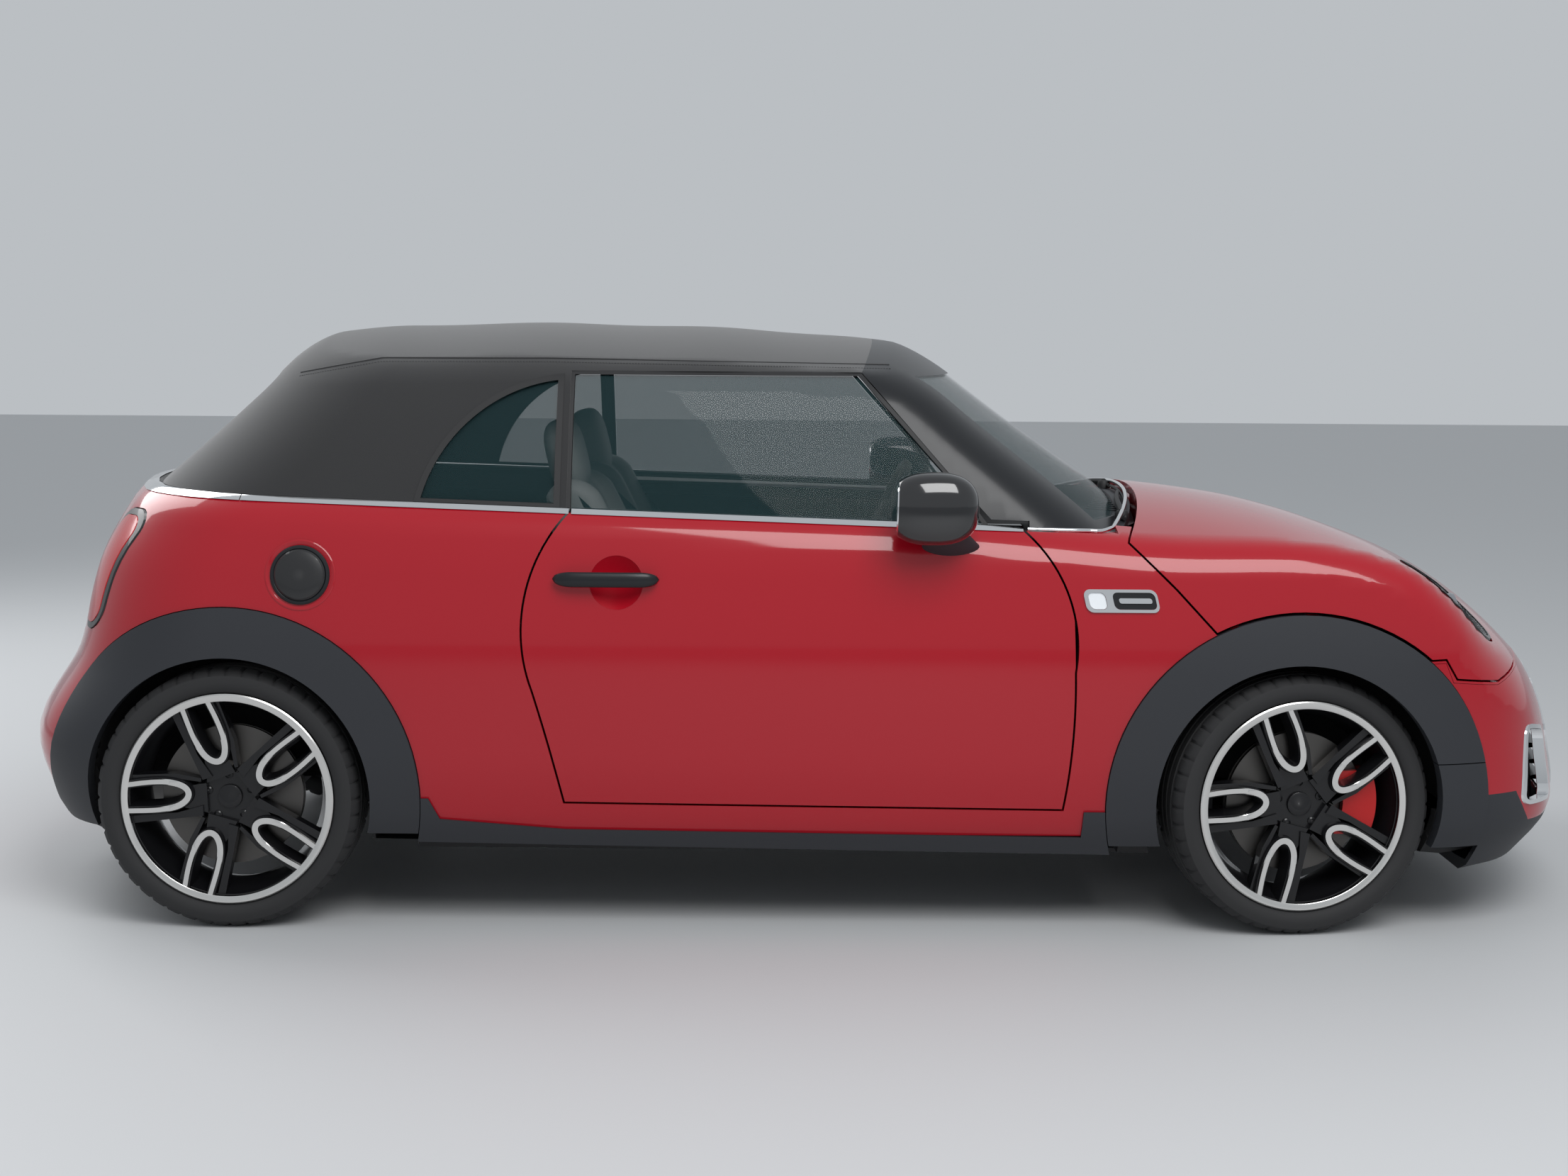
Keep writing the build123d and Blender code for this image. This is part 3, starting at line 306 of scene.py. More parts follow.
def on_form(mesh, form, outer, inner=None):
    """Gives the faces that lie on a form's levels its own smooth normals, and all others their flat ones."""
    verts = np.zeros(len(mesh.vertices) * 3)
    mesh.vertices.foreach_get("co", verts)
    verts = verts.reshape(-1, 3)
    reach = form_distance(form, verts)
    normal = gradient(form, verts)
    polygons = mesh.polygons
    flat = np.zeros(len(polygons) * 3)
    polygons.foreach_get("normal", flat)
    flat = flat.reshape(-1, 3)
    totals = np.zeros(len(polygons), int)
    polygons.foreach_get("loop_total", totals)
    owner = np.repeat(np.arange(len(polygons)), totals)
    corner = np.zeros(len(mesh.loops), int)
    mesh.loops.foreach_get("vertex_index", corner)
    result = flat[owner].copy()
    for level, sign in ((outer, 1), (inner, -1)):
        if level is None:
            continue
        near = (np.abs(reach[corner] - level) < 0.002) & (np.sum(result * normal[corner], 1) * sign > 0.75)
        result[near] = sign * normal[corner][near]
    polygons.foreach_set("use_smooth", np.ones(len(polygons), bool))
    mesh.normals_split_custom_set(result.tolist())


def piece(name, mesh, body, slot, *finishes, stands_for=()):
    """A finished piece at the origin, riding on a body."""
    mesh.name = name
    mesh.materials.clear()
    for one in finishes:
        mesh.materials.append(one)
    thing = solid_object(name, mesh)
    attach(thing, body)
    if stands_for:
        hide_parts(*stands_for)
    return thing


def finish(name, colour, roughness, metallic=0.0, coat=0.0, **sockets):
    """A plain surface; the colour is as it looks in a linear scale."""
    material = bpy.data.materials.new(name)
    material.use_nodes = True
    shader = material.node_tree.nodes["Principled BSDF"]
    shader.inputs["Base Color"].default_value = (*colour, 1)
    shader.inputs["Roughness"].default_value = roughness
    shader.inputs["Metallic"].default_value = metallic
    shader.inputs["Coat Weight"].default_value = coat
    shader.inputs["Coat Roughness"].default_value = 0.03
    for socket, value in sockets.items():
        shader.inputs[socket.replace("_", " ")].default_value = value
    return material


def grained(material, scale, strength, depth=0.0005, detail=4):
    """Adds a fine moulded or woven relief."""
    nodes, links = material.node_tree.nodes, material.node_tree.links
    place = nodes.new("ShaderNodeTexCoord")
    noise = nodes.new("ShaderNodeTexNoise")
    noise.inputs["Scale"].default_value = scale
    noise.inputs["Detail"].default_value = detail
    bump = nodes.new("ShaderNodeBump")
    bump.inputs["Strength"].default_value = strength
    bump.inputs["Distance"].default_value = depth
    links.new(place.outputs["Object"], noise.inputs["Vector"])
    links.new(noise.outputs["Fac"], bump.inputs["Height"])
    links.new(bump.outputs["Normal"], nodes["Principled BSDF"].inputs["Normal"])
    return material


red_paint = finish("red_paint", (0.37, 0.003, 0.012), 0.35, coat=0.9, Coat_Roughness=0.07,
                   Specular_IOR_Level=0.1)
BODY_SPINE = (1.05, -1.05, 0.60)
FINE, COARSE = {"columns": (90, 150), "rows": 100}, {"columns": (60, 100), "rows": 80}
panel_depth = 0.022


def body_layer(outer, inner, front=FINE, back=COARSE):
    """A closed layer of the body form between two levels."""
    return combined(form_solid(BODY_FORM, outer, BODY_SPINE, **front),
                    form_solid(BODY_FORM, inner, BODY_SPINE, **back))


body_skin = body_layer(0.0, -panel_depth)


def belt_height(x):
    """Height of the belt line, which rises a little towards the tail."""
    return 0.957 - 0.0323 * x


front_axle_x, rear_axle_x, hub_z, track = 1.168, -1.327, 0.306, 1.485
arch_radius, cladding_width = 0.334, 0.118
visible_gap = 0.005
sill_z = 0.239

door_outline = [(-0.534, belt_height(-0.534))]
door_outline += arc((0.520, belt_height(0.520)), (0.612, 0.815), (0.637, 0.620))
door_outline += arc((0.637, 0.620), (0.634, 0.451), (0.616, 0.297))
door_outline += [(0.616, 0.297)]
door_outline += arc((-0.540, 0.307), (-0.574, 0.440), (-0.612, 0.570))
door_outline += arc((-0.612, 0.570), (-0.630, 0.780), (-0.534, belt_height(-0.534)))
door_cut = prism(widened(door_outline, visible_gap), -1.0, -0.6)

bonnet_rear_x, bonnet_corner_x, bonnet_edge_y = 0.863, 0.760, 0.82
past_nose_x, past_tail_x, past_side_y, past_roof_z = 2.1, -2.1, 1.2, 1.7
bonnet_side = [(0.760, 0.923), (0.872, 0.814), (0.965, 0.714), (1.168, 0.700), (1.330, 0.650), (1.499, 0.656),
               (1.528, 0.609), (1.640, 0.597), (1.714, 0.618), (1.990, 0.642), (1.990, 1.300), (0.600, 1.300),
               (0.600, 0.923)]


def bonnet_block(gap):
    """The bonnet's space inside its shut lines, larger by gap."""
    side = prism(widened(bonnet_side, gap), -1.1, 1.1)
    corner, middle = bonnet_corner_x - gap, bonnet_rear_x - gap
    rear_edge = arc((corner, -bonnet_edge_y), (middle, 0), (corner, bonnet_edge_y), 48)
    plan = rear_edge + [(corner, bonnet_edge_y), (corner, 1.0), (past_nose_x, 1.0), (past_nose_x, -1.0),
                        (corner, -1.0)]
    block = inside(side, prism(plan, 0.4, 1.3, "z"))
    arch = prism(ring((front_axle_x, hub_z), arch_radius + cladding_width + visible_gap - gap), -1.2, 1.2)
    return combined(block, arch)


def flat_shaded(mesh, angle=30):
    """Smooth where faces meet gently, and sharp where they meet at an edge."""
    mesh.polygons.foreach_set("use_smooth", np.ones(len(mesh.polygons), bool))
    mesh.set_sharp_from_angle(angle=math.radians(angle))
    return mesh


def skinned(rings, closed=False):
    """A closed skin over rings of points; open ends are capped."""
    rings = np.asarray(rings, float)
    count, around = rings.shape[:2]
    last = count if closed else count - 1
    faces = [[r * around + a, r * around + (a + 1) % around,
              (r + 1) % count * around + (a + 1) % around, (r + 1) % count * around + a]
             for r in range(last) for a in range(around)]
    if not closed:
        faces += [list(range(around))[::-1], [(count - 1) * around + a for a in range(around)]]
    mesh = bpy.data.meshes.new("skin")
    mesh.from_pydata(rings.reshape(-1, 3).tolist(), [], faces)
    fix = bmesh.new()
    fix.from_mesh(mesh)
    bmesh.ops.recalc_face_normals(fix, faces=fix.faces)
    fix.to_mesh(mesh)
    fix.free()
    return flat_shaded(mesh)


lamp_centre, lamp_half = Vector((1.545, -0.630, 0.760)), (0.132, 0.110)
lamp_tilt, lamp_lean = math.radians(14), math.radians(13)
lamp_long = Vector((math.cos(lamp_tilt), 0, -math.sin(lamp_tilt)))
lamp_axis = Vector((math.sin(lamp_tilt) * math.cos(lamp_lean), -math.sin(lamp_lean),
                    math.cos(lamp_tilt) * math.cos(lamp_lean)))
lamp_wide = lamp_axis.cross(lamp_long)


def lamp_oval(grow, height):
    """The headlamp's oval, wider by grow, at a height along its axis."""
    return [lamp_centre + lamp_long * ((lamp_half[0] + grow) * math.cos(a))
            + lamp_wide * ((lamp_half[1] + grow) * math.sin(a)) + lamp_axis * height
            for a in np.linspace(0, 2 * math.pi, 72, endpoint=False)]


def lamp_block(grow):
    """A headlamp's opening, wider by grow, through the wing."""
    return skinned([[tuple(p) for p in lamp_oval(grow, h)] for h in (-0.14, 0.25)])


tail_lamp_corners = ((0.655, 0.7425, -90), (0.655, 0.9075, 0), (0.625, 0.9075, 90), (0.625, 0.7425, 180))
tail_lamp_radius = 0.060


def tail_oval(shrink):
    """The right tail lamp's upright outline, smaller by shrink."""
    return [(-y, z) for y, z in corner_arcs(tail_lamp_corners, tail_lamp_radius - shrink, 10)]


tail_panel = [(-0.49, 0.726), (-0.47, 0.682), (-0.44, 0.676), (0.44, 0.676), (0.47, 0.682), (0.49, 0.726),
              (0.49, 0.890), (0.47, 0.934), (0.44, 0.940), (-0.44, 0.940), (-0.47, 0.934), (-0.49, 0.890)]
front_bumper_outline = [(1.330, 0.050), (1.330, 0.640), (1.497, 0.645), (1.517, 0.599), (1.640, 0.586),
                        (1.714, 0.607), (1.990, 0.631), (1.990, 0.050)]
rear_bumper_outline = [(-1.990, 0.205), (-1.480, 0.205), (-1.480, 0.655), (-1.990, 0.655)]
sill_top = [(0.762, 0.290), (0.667, 0.290), (0.663, sill_z - 0.012), (-0.540, sill_z), (-0.832, 0.262),
            (-0.858, 0.312)]
above_belt = prism([(-2.2, belt_height(-2.2)), (0.745, belt_height(0.745)),
                    (0.745, past_roof_z), (-2.2, past_roof_z)], -past_side_y, past_side_y)
wheel_holes = [prism(ring((x, hub_z), arch_radius + cladding_width), -1.3, 1.3)
               for x in (front_axle_x, rear_axle_x)]
cowl_room = prism(rectangle(0.58, 0.95, -0.695, 0.695), 0.875, 1.2, "z")
door_hinge_heights, hinge_pocket_half = (0.455, 0.725), 0.014
hinge_pockets = [prism(rectangle(0.600, 0.702, z - hinge_pocket_half, z + hinge_pocket_half), -0.848, -0.770)
                 for z in door_hinge_heights]
tailgate_room = prism(widened(tail_panel, visible_gap), past_tail_x, -1.5, "x")
tailgate_sweep = prism(rectangle(-0.495, 0.495, 0.650, 0.740), past_tail_x, -1.54, "x")
lamp_holes = pair(lamp_block(visible_gap))
tail_holes = pair(prism(tail_oval(-0.002), -2.0, -1.45, "x"))
bumper_rooms = [prism(outline, -past_side_y, past_side_y)
                for outline in (widened(front_bumper_outline, 0.001), rear_bumper_outline)]
sill_room = prism([(-0.990, 0.312), (-0.990, 0.100), (0.755, 0.100)] + sill_top, -past_side_y, past_side_y)
below_sill = prism([(-2.1, 0.05), (-2.1, 0.215), (-1.0, 0.23), (0.8, 0.23), (1.33, 0.25), (1.33, 0.05)],
                   -past_side_y, past_side_y)

body_panels = body_skin
for room in (above_belt, cowl_room, door_cut, mirrored(door_cut),
             hinge_pockets[0], mirrored(hinge_pockets[0]), hinge_pockets[1], mirrored(hinge_pockets[1]),
             bonnet_block(visible_gap), tailgate_room, tailgate_sweep, lamp_holes, tail_holes,
             *bumper_rooms, sill_room, *wheel_holes, below_sill):
    body_panels = combined(body_panels, room)
on_form(body_panels, BODY_FORM, 0.0, -panel_depth)
piece("body_panels", body_panels, "body", "red_paint", red_paint)

# Inner structure: pillars, floor, wheel housings and bulkhead of welded steel, dark inside and under the car.
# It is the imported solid, kept to what lies behind the outer panels.
dark_inside = grained(finish("dark_inside", (0.012, 0.012, 0.013), 0.75), 300, 0.1)


def cad_copy(node):
    """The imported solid's own mesh, with its corners merged."""
    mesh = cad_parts[node].data.copy()
    mesh.materials.clear()
    merge = bmesh.new()
    merge.from_mesh(mesh)
    bmesh.ops.remove_doubles(merge, verts=merge.verts, dist=1e-6)
    merge.to_mesh(mesh)
    merge.free()
    return mesh


core_form = form_solid(BODY_FORM, -panel_depth - 0.0005, BODY_SPINE, **COARSE)
body_core = flat_shaded(inside(cad_copy("body_shell"), core_form))
piece("body_structure", body_core, "body", "black_plastic", dark_inside, stands_for=["body_shell"])

# Bonnet: a one-piece pressed steel lid that wraps over the wings, with the headlamps showing through it.
# It is hinged at the bulkhead, and its frame under the skin is painted too.
bonnet_panel = combined(inside(body_skin, bonnet_block(0)), lamp_holes)
on_form(bonnet_panel, BODY_FORM, 0.0, -panel_depth)
piece("bonnet_panel", bonnet_panel, "bonnet", "red_paint", red_paint, stands_for=["bonnet"])
bonnet_frame = flat_shaded(combined(inside(cad_copy("bonnet"), core_form), lamp_holes))
piece("bonnet_frame", bonnet_frame, "bonnet", "red_paint", red_paint)

# Doors: long frameless doors of painted steel, hung on two hinges in the front pillar.
# The skin is cut away where it would foul the wing at the hinges, and round the handle's finger cup.
door_panel = inside(body_skin, prism(door_outline, -1.0, -0.6))
door_pivot, relief_radius = (0.687, -0.8335), 0.056
cup_at, cup_radius, cup_depth = (-0.420, 0.820), 0.062, 0.022
door_panel = combined(door_panel, prism(ring(door_pivot, relief_radius), 0.2, 1.1, "z"))
door_panel = combined(door_panel, prism(ring(cup_at, cup_radius), -1.1, -0.6))
for body, mesh in (("door_right", door_panel), ("door_left", mirrored(door_panel))):
    on_form(mesh, BODY_FORM, 0.0, -panel_depth)
    piece(body + "_panel", mesh, body, "red_paint", red_paint, stands_for=[body])
    door_frame = flat_shaded(inside(cad_copy(body), core_form))
    piece(body + "_frame", door_frame, body, "cabin_plastic", dark_inside)

# Tailgate: the flat panel between the tail lamps, pressed from steel and painted.
# It drops about two hinge lugs at its lower edge, and its top edge is thinned to a lip.
lug_y, lug_room_half, lip_depth, lip_low_z = 0.120, 0.020, 0.014, 0.870
tailgate_panel = inside(body_skin, prism(tail_panel, past_tail_x, -1.5, "x"))
lip = inside(form_solid(BODY_FORM, -lip_depth, BODY_SPINE, **COARSE),
             prism(rectangle(past_tail_x, -1.2, -0.6, 0.6), lip_low_z, 1.1, "z"))
tailgate_panel = combined(tailgate_panel, lip)
for middle in (-lug_y, lug_y):
    lug_plan = rectangle(-1.807, -1.600, middle - lug_room_half, middle + lug_room_half)
    tailgate_panel = combined(tailgate_panel, prism(lug_plan, 0.600, 0.698, "z"))
on_form(tailgate_panel, BODY_FORM, 0.0, -panel_depth)
piece("tailgate_panel", tailgate_panel, "tailgate", "red_paint", red_paint, stands_for=["tailgate"])
tailgate_frame = flat_shaded(inside(cad_copy("tailgate"), core_form))
piece("tailgate_frame", tailgate_frame, "tailgate", "red_paint", red_paint)

# Bumpers: painted plastic skins with a wide grille opening and two side intakes in front.
# Grained dark valances close them below, and a dark backing stands behind each skin.
black_plastic = grained(finish("black_plastic", (0.020, 0.022, 0.027), 0.55), 900, 0.12)


def rounded(points, radius, steps=7):
    """A closed outline with its corners rounded."""
    out = []
    for i, corner in enumerate(points):
        here, before, after = Vector(corner), Vector(points[i - 1]), Vector(points[(i + 1) % len(points)])
        a, b = (before - here).normalized() * radius, (after - here).normalized() * radius
        for k in range(steps + 1):
            t = k / steps
            out.append(tuple(here + a * (1 - t) ** 2 + b * t ** 2))
    return out


grille_outline = rounded([(-0.33, 0.25), (0.33, 0.25), (0.44, 0.40), (0.40, 0.575), (-0.40, 0.575),
                          (-0.44, 0.40)], 0.055)
intake_outline = rounded([(-0.735, 0.295), (-0.575, 0.285), (-0.560, 0.455), (-0.700, 0.480)], 0.030)
valance_front_z, valance_rear_z = 0.232, 0.275
front_skin = combined(inside(body_skin, prism(front_bumper_outline, -past_side_y, past_side_y)), wheel_holes[0])
front_cut = prism([(1.2, 0.0), (past_nose_x, 0.0), (past_nose_x, valance_front_z),
                   (1.745, valance_front_z + 0.02), (1.700, 0.330), (1.2, 0.330)], -past_side_y, past_side_y)
front_lower = inside(front_skin, front_cut)
front_skin = combined(front_skin, front_cut)
front_skin = combined(front_skin, prism(grille_outline, 1.6, past_nose_x, "x"))
front_skin = combined(front_skin, lamp_holes)
intake = prism(intake_outline, 1.6, past_nose_x, "x")
for block in (intake, mirrored(intake)):
    front_skin = combined(front_skin, block)
on_form(front_skin, BODY_FORM, 0.0, -panel_depth)
on_form(front_lower, BODY_FORM, 0.0, -panel_depth)
piece("front_bumper_skin", front_skin, "body", "red_paint", red_paint, stands_for=["front_bumper"])
piece("front_valance", front_lower, "body", "black_plastic", black_plastic)
backing_form = form_solid(BODY_FORM, -0.045, BODY_SPINE, (60, 80), 60)
front_backing = flat_shaded(inside(cad_copy("front_bumper"), backing_form))
piece("front_bumper_backing", front_backing, "body", "black_plastic", dark_inside)

rear_skin = combined(inside(body_skin, prism(rear_bumper_outline, -past_side_y, past_side_y)), wheel_holes[1])
rear_cut = prism([(past_tail_x, 0.0), (-1.4, 0.0), (-1.4, 0.40), (-1.765, 0.40), (-1.800, valance_rear_z),
                  (past_tail_x, valance_rear_z)], -past_side_y, past_side_y)
rear_lower = inside(rear_skin, rear_cut)
rear_skin = combined(rear_skin, rear_cut)
on_form(rear_skin, BODY_FORM, 0.0, -panel_depth)
on_form(rear_lower, BODY_FORM, 0.0, -panel_depth)
piece("rear_bumper_skin", rear_skin, "body", "red_paint", red_paint, stands_for=["rear_bumper"])
piece("rear_valance", rear_lower, "body", "black_plastic", black_plastic)
rear_backing = flat_shaded(inside(cad_copy("rear_bumper"), core_form))
piece("rear_bumper_backing", rear_backing, "body", "black_plastic", dark_inside)

# Cladding: matte moulded plastic strips round the wheel openings and along the sills.
# They are clipped on and stand a little proud of the skin; a joint crosses the front strip at bumper height.
cladding_stand, cladding_back, arch_low_z = 0.007, -0.040, {front_axle_x: 0.205, rear_axle_x: 0.225}
sides_only = joined(prism(rectangle(past_tail_x, past_nose_x, 0.60, 1.0), 0.0, 1.2, "z"),
                    prism(rectangle(past_tail_x, past_nose_x, -1.0, -0.60), 0.0, 1.2, "z"))
cladding_skin = inside(body_layer(cladding_stand, cladding_back), sides_only)
arch_pieces = []
for axle_x, low in arch_low_z.items():
    outer = prism(ring((axle_x, hub_z), arch_radius + cladding_width - 0.002), -past_side_y, past_side_y)
    arch_piece = combined(inside(cladding_skin, outer), prism(ring((axle_x, hub_z), arch_radius), -1.3, 1.3))
    arch_pieces.append(combined(arch_piece, prism(rectangle(-3, 3, -1, low), -1.3, 1.3)))
cladding_joint = prism(rectangle(1.44, 1.70, 0.408, 0.4105), -past_side_y, past_side_y)
arch_pieces[0] = combined(arch_pieces[0], cladding_joint)
sill_outline = [(-0.99, 0.312), (-0.99, 0.205), (0.755, 0.182)] + sill_top
sill_piece = inside(cladding_skin, prism(sill_outline, -past_side_y, past_side_y))
for hole in wheel_holes:
    sill_piece = combined(sill_piece, hole)
cladding = joined(*arch_pieces, sill_piece)
on_form(cladding, BODY_FORM, cladding_stand, cladding_back)
piece("arch_and_sill_cladding", cladding, "body", "black_plastic", black_plastic, stands_for=["lower_cladding"])

# Soft top: woven cloth over padding, stretched on four bows and hemmed round the side windows and the belt.
# With the glass and the windscreen frame it shares one form, measured from outlines at five heights.
# It sags a little between its bows.

# height, front x, rear x, half width, front corner, rear corner
CANOPY_OUTLINES = np.array([
    (0.900, 0.927, -1.742, 0.785, 0.200, 0.380),
    (1.010, 0.782, -1.628, 0.752, 0.190, 0.370),
    (1.180, 0.540, -1.436, 0.684, 0.160, 0.350),
    (1.310, 0.366, -1.300, 0.618, 0.130, 0.320),
    (1.460, 0.160, -1.150, 0.540, 0.090, 0.290),
])
# station x, centre height, side height
ROOF_SECTIONS = np.array([
    (-1.900, 1.350, 1.270), (-1.255, 1.382, 1.306), (-1.000, 1.408, 1.334), (-0.600, 1.415, 1.343),
    (-0.200, 1.406, 1.336), (0.230, 1.374, 1.310), (0.500, 1.310, 1.250), (1.000, 1.180, 1.120),
])
hood_bows = (-1.16, -0.66, -0.22, 0.18)


def hood_sag(x, y):
    """How far the fabric lies below the plain form between its bows."""
    sag = 0 * x
    for rear, front in zip(hood_bows[:-1], hood_bows[1:]):
        t = np.clip((x - rear) / (front - rear), 0, 1)
        sag = sag - 0.0045 * np.sin(math.pi * t) ** 2
    return sag


CANOPY_FORM = {"outlines": CANOPY_OUTLINES, "sections": ROOF_SECTIONS, "edge": (0.800, 0.540),
               "bows": (1.500, 1.800), "shoulder": 0.045, "floor": 0.905}
HOOD_FORM = {**CANOPY_FORM, "shoulder": 0.042, "ripples": hood_sag}
CANOPY_SPINE = (-0.15, -1.0, 1.02)


def canopy_shell(form, outer, inner):
    """A layer of the glasshouse between two levels, open at its foot."""
    return combined(form_solid(form, outer, CANOPY_SPINE, (120, 120), 90),
                    form_solid({**form, "floor": 0.900}, inner, CANOPY_SPINE, (80, 80), 70))


glass_top_z, b_post_x, header_x = 1.291, -0.531, 0.228
pillar_foot, pillar_mid, pillar_top = (0.434, belt_height(0.434)), (0.331, 1.076), (0.138, glass_top_z)
seal_gap, trim_height, hood_depth = 0.010, 0.012, 0.010
hood_fabric = finish("hood_fabric", (0.020, 0.020, 0.021), 0.9, Sheen_Weight=0.35, Sheen_Roughness=0.5)
hood_fabric = grained(hood_fabric, 700, 0.5, 0.0006, 8)
above_roof_z, behind_hood_x = 1.45, -2.2
hood_outline = [(header_x, above_roof_z), (pillar_top[0] + seal_gap, glass_top_z + seal_gap),
                (b_post_x - seal_gap, glass_top_z + seal_gap),
                (b_post_x - seal_gap, belt_height(b_post_x) + trim_height),
                (behind_hood_x, belt_height(behind_hood_x) + trim_height), (behind_hood_x, above_roof_z)]
quarter_outline = arc((-0.892, belt_height(-0.892) + trim_height), (-0.770, 1.200), (-0.563, 1.288))
quarter_outline += [(-0.563, 1.288), (-0.563, belt_height(-0.563) + trim_height)]
rear_window = corner_arcs(((0.37, 1.10, -90), (0.37, 1.23, 0), (-0.37, 1.23, 90), (-0.37, 1.10, 180)), 0.06, 7)
hood_sheet = inside(canopy_shell(HOOD_FORM, 0.0, -hood_depth), prism(hood_outline, -1.1, 1.1))
for opening in (prism(quarter_outline, -1.1, -0.4), prism(quarter_outline, 0.4, 1.1),
                prism(rear_window, -1.8, -1.2, "x")):
    hood_sheet = combined(hood_sheet, opening)
on_form(hood_sheet, HOOD_FORM, 0.0, -hood_depth)
piece("hood", hood_sheet, "body", "hood_fabric", hood_fabric, stands_for=["soft_top"])

# Hood seams: a raised piping of the same cloth where the sides meet the roof, with a row of stitches under it.
# The stitches are set along the seam by Geometry Nodes.
seam_low, stitch_pitch, stitch_size = 0.008, 0.007, 0.0011


def tube(path, radius, around=12, closed=False):
    """A round bar along points."""
    path = np.array(path, float)
    ahead, behind = np.roll(path, -1, 0), np.roll(path, 1, 0)
    if not closed:
        ahead[-1], behind[0] = path[-1], path[0]
    along = ahead - behind
    along /= np.linalg.norm(along, axis=1)[:, None]
    side = np.cross(along, np.where(np.abs(along[:, 2:]) > 0.9, [1.0, 0, 0], [0, 0, 1.0]))
    side /= np.linalg.norm(side, axis=1)[:, None]
    up = np.cross(side, along)
    radius = np.broadcast_to(np.asarray(radius, float), (len(path),))
    t = 2 * np.pi * np.arange(around) / around
    round_it = side[:, None] * np.cos(t)[None, :, None] + up[:, None] * np.sin(t)[None, :, None]
    return skinned(path[:, None] + radius[:, None, None] * round_it, closed)


def cant_line(drop, level, steps=120):
    """Points on the hood's skin along its upper side edge, from rear to front."""
    out = []
    for x in np.linspace(-1.205, header_x - 0.012, steps):
        z = float(np.interp(x, [-1.205, -1.00, -0.60, header_x], [1.290, 1.327, 1.3295, 1.318])) - drop
        low, high = 0.0, 1.2
        for _ in range(34):
            middle = (low + high) / 2
            inside_form = form_distance(HOOD_FORM, np.array([(x, -middle, z)]))[0] <= level
            low, high = (middle, high) if inside_form else (low, middle)
        out.append((x, -low, z))
    return out


def stitches(line):
    """Small rounded stitches along a line, made by a Geometry Nodes tree."""
    tree = bpy.data.node_groups.new("stitch_row", "GeometryNodeTree")
    socket = tree.interface.new_socket
    socket(name="Geometry", in_out="INPUT", socket_type="NodeSocketGeometry")
    inputs = [socket(name=n, in_out="INPUT", socket_type="NodeSocketFloat").identifier
              for n in ("Pitch", "Size")]
    socket(name="Geometry", in_out="OUTPUT", socket_type="NodeSocketGeometry")
    nodes, links = tree.nodes, tree.links
    given, result = nodes.new("NodeGroupInput"), nodes.new("NodeGroupOutput")
    curve, even = nodes.new("GeometryNodeMeshToCurve"), nodes.new("GeometryNodeCurveToPoints")
    bead, spread = nodes.new("GeometryNodeMeshUVSphere"), nodes.new("GeometryNodeInstanceOnPoints")
    stretch, real = nodes.new("GeometryNodeTransform"), nodes.new("GeometryNodeRealizeInstances")
    paint = nodes.new("GeometryNodeSetMaterial")
    even.mode = "LENGTH"
    bead.inputs["Segments"].default_value, bead.inputs["Rings"].default_value = 6, 4
    stretch.inputs["Scale"].default_value = (1, 1, 2.4)
    paint.inputs["Material"].default_value = seam_thread
    links.new(given.outputs["Geometry"], curve.inputs["Mesh"])
    links.new(curve.outputs["Curve"], even.inputs["Curve"])
    links.new(given.outputs["Pitch"], even.inputs["Length"])
    links.new(given.outputs["Size"], bead.inputs["Radius"])
    links.new(bead.outputs["Mesh"], stretch.inputs["Geometry"])
    links.new(even.outputs["Points"], spread.inputs["Points"])
    links.new(even.outputs["Rotation"], spread.inputs["Rotation"])
    links.new(stretch.outputs["Geometry"], spread.inputs["Instance"])
    links.new(spread.outputs["Instances"], real.inputs["Geometry"])
    links.new(real.outputs["Geometry"], paint.inputs["Geometry"])
    links.new(paint.outputs["Geometry"], result.inputs["Geometry"])
    path = bpy.data.meshes.new("path")
    path.from_pydata([tuple(p) for p in line], [(i, i + 1) for i in range(len(line) - 1)], [])
    work = solid_object("work", path)
    sewing = work.modifiers.new("sewing", "NODES")
    sewing.node_group = tree
    for key, value in zip(inputs, (stitch_pitch, stitch_size)):
        sewing[key] = value
    mesh = bpy.data.meshes.new_from_object(work.evaluated_get(bpy.context.evaluated_depsgraph_get()))
    work.modifiers.remove(sewing)
    bpy.data.objects.remove(work)
    return mesh


seam_thread = finish("seam_thread", (0.045, 0.045, 0.047), 0.7)
thread = stitches(cant_line(seam_low, 0.0))
piece("hood_stitches", pair(thread), "body", "hood_fabric", seam_thread)
piping_radius, piping_level = 0.0026, -0.0006
piping = tube(cant_line(0.0, piping_level), piping_radius, 8)
piece("hood_piping", pair(piping), "body", "hood_fabric", hood_fabric)

# Glass: windscreen, quarter windows, rear window and the doors' frameless panes, in toughened tinted glass.
# All are curved with the form and bonded or held in rubber a little under the hood's and frame's surface.
clear_glass = finish("clear_glass", (0.025, 0.055, 0.060), 0.02, Alpha=0.33, Specular_IOR_Level=0.12)
glass_outer, glass_inner = -0.008, -0.013
glass_skin = canopy_shell(CANOPY_FORM, glass_outer, glass_inner)
screen_outline = [(-0.655, 0.955), (0.655, 0.955), (0.535, 1.292), (-0.535, 1.292)]
windscreen = inside(glass_skin, prism(screen_outline, 0.15, 1.1, "x"))
quarters = pair(inside(glass_skin, prism(quarter_outline, -1.1, -0.4)))
rear_glass = inside(glass_skin, prism(rear_window, -1.8, -1.2, "x"))
for name, mesh, node in (("windscreen_glass", windscreen, "windscreen"),
                         ("quarter_windows", quarters, "quarter_glasses"),
                         ("rear_window_glass", rear_glass, "rear_window")):
    on_form(mesh, CANOPY_FORM, glass_outer, glass_inner)
    piece(name, mesh, "body", "glass", clear_glass, stands_for=[node])
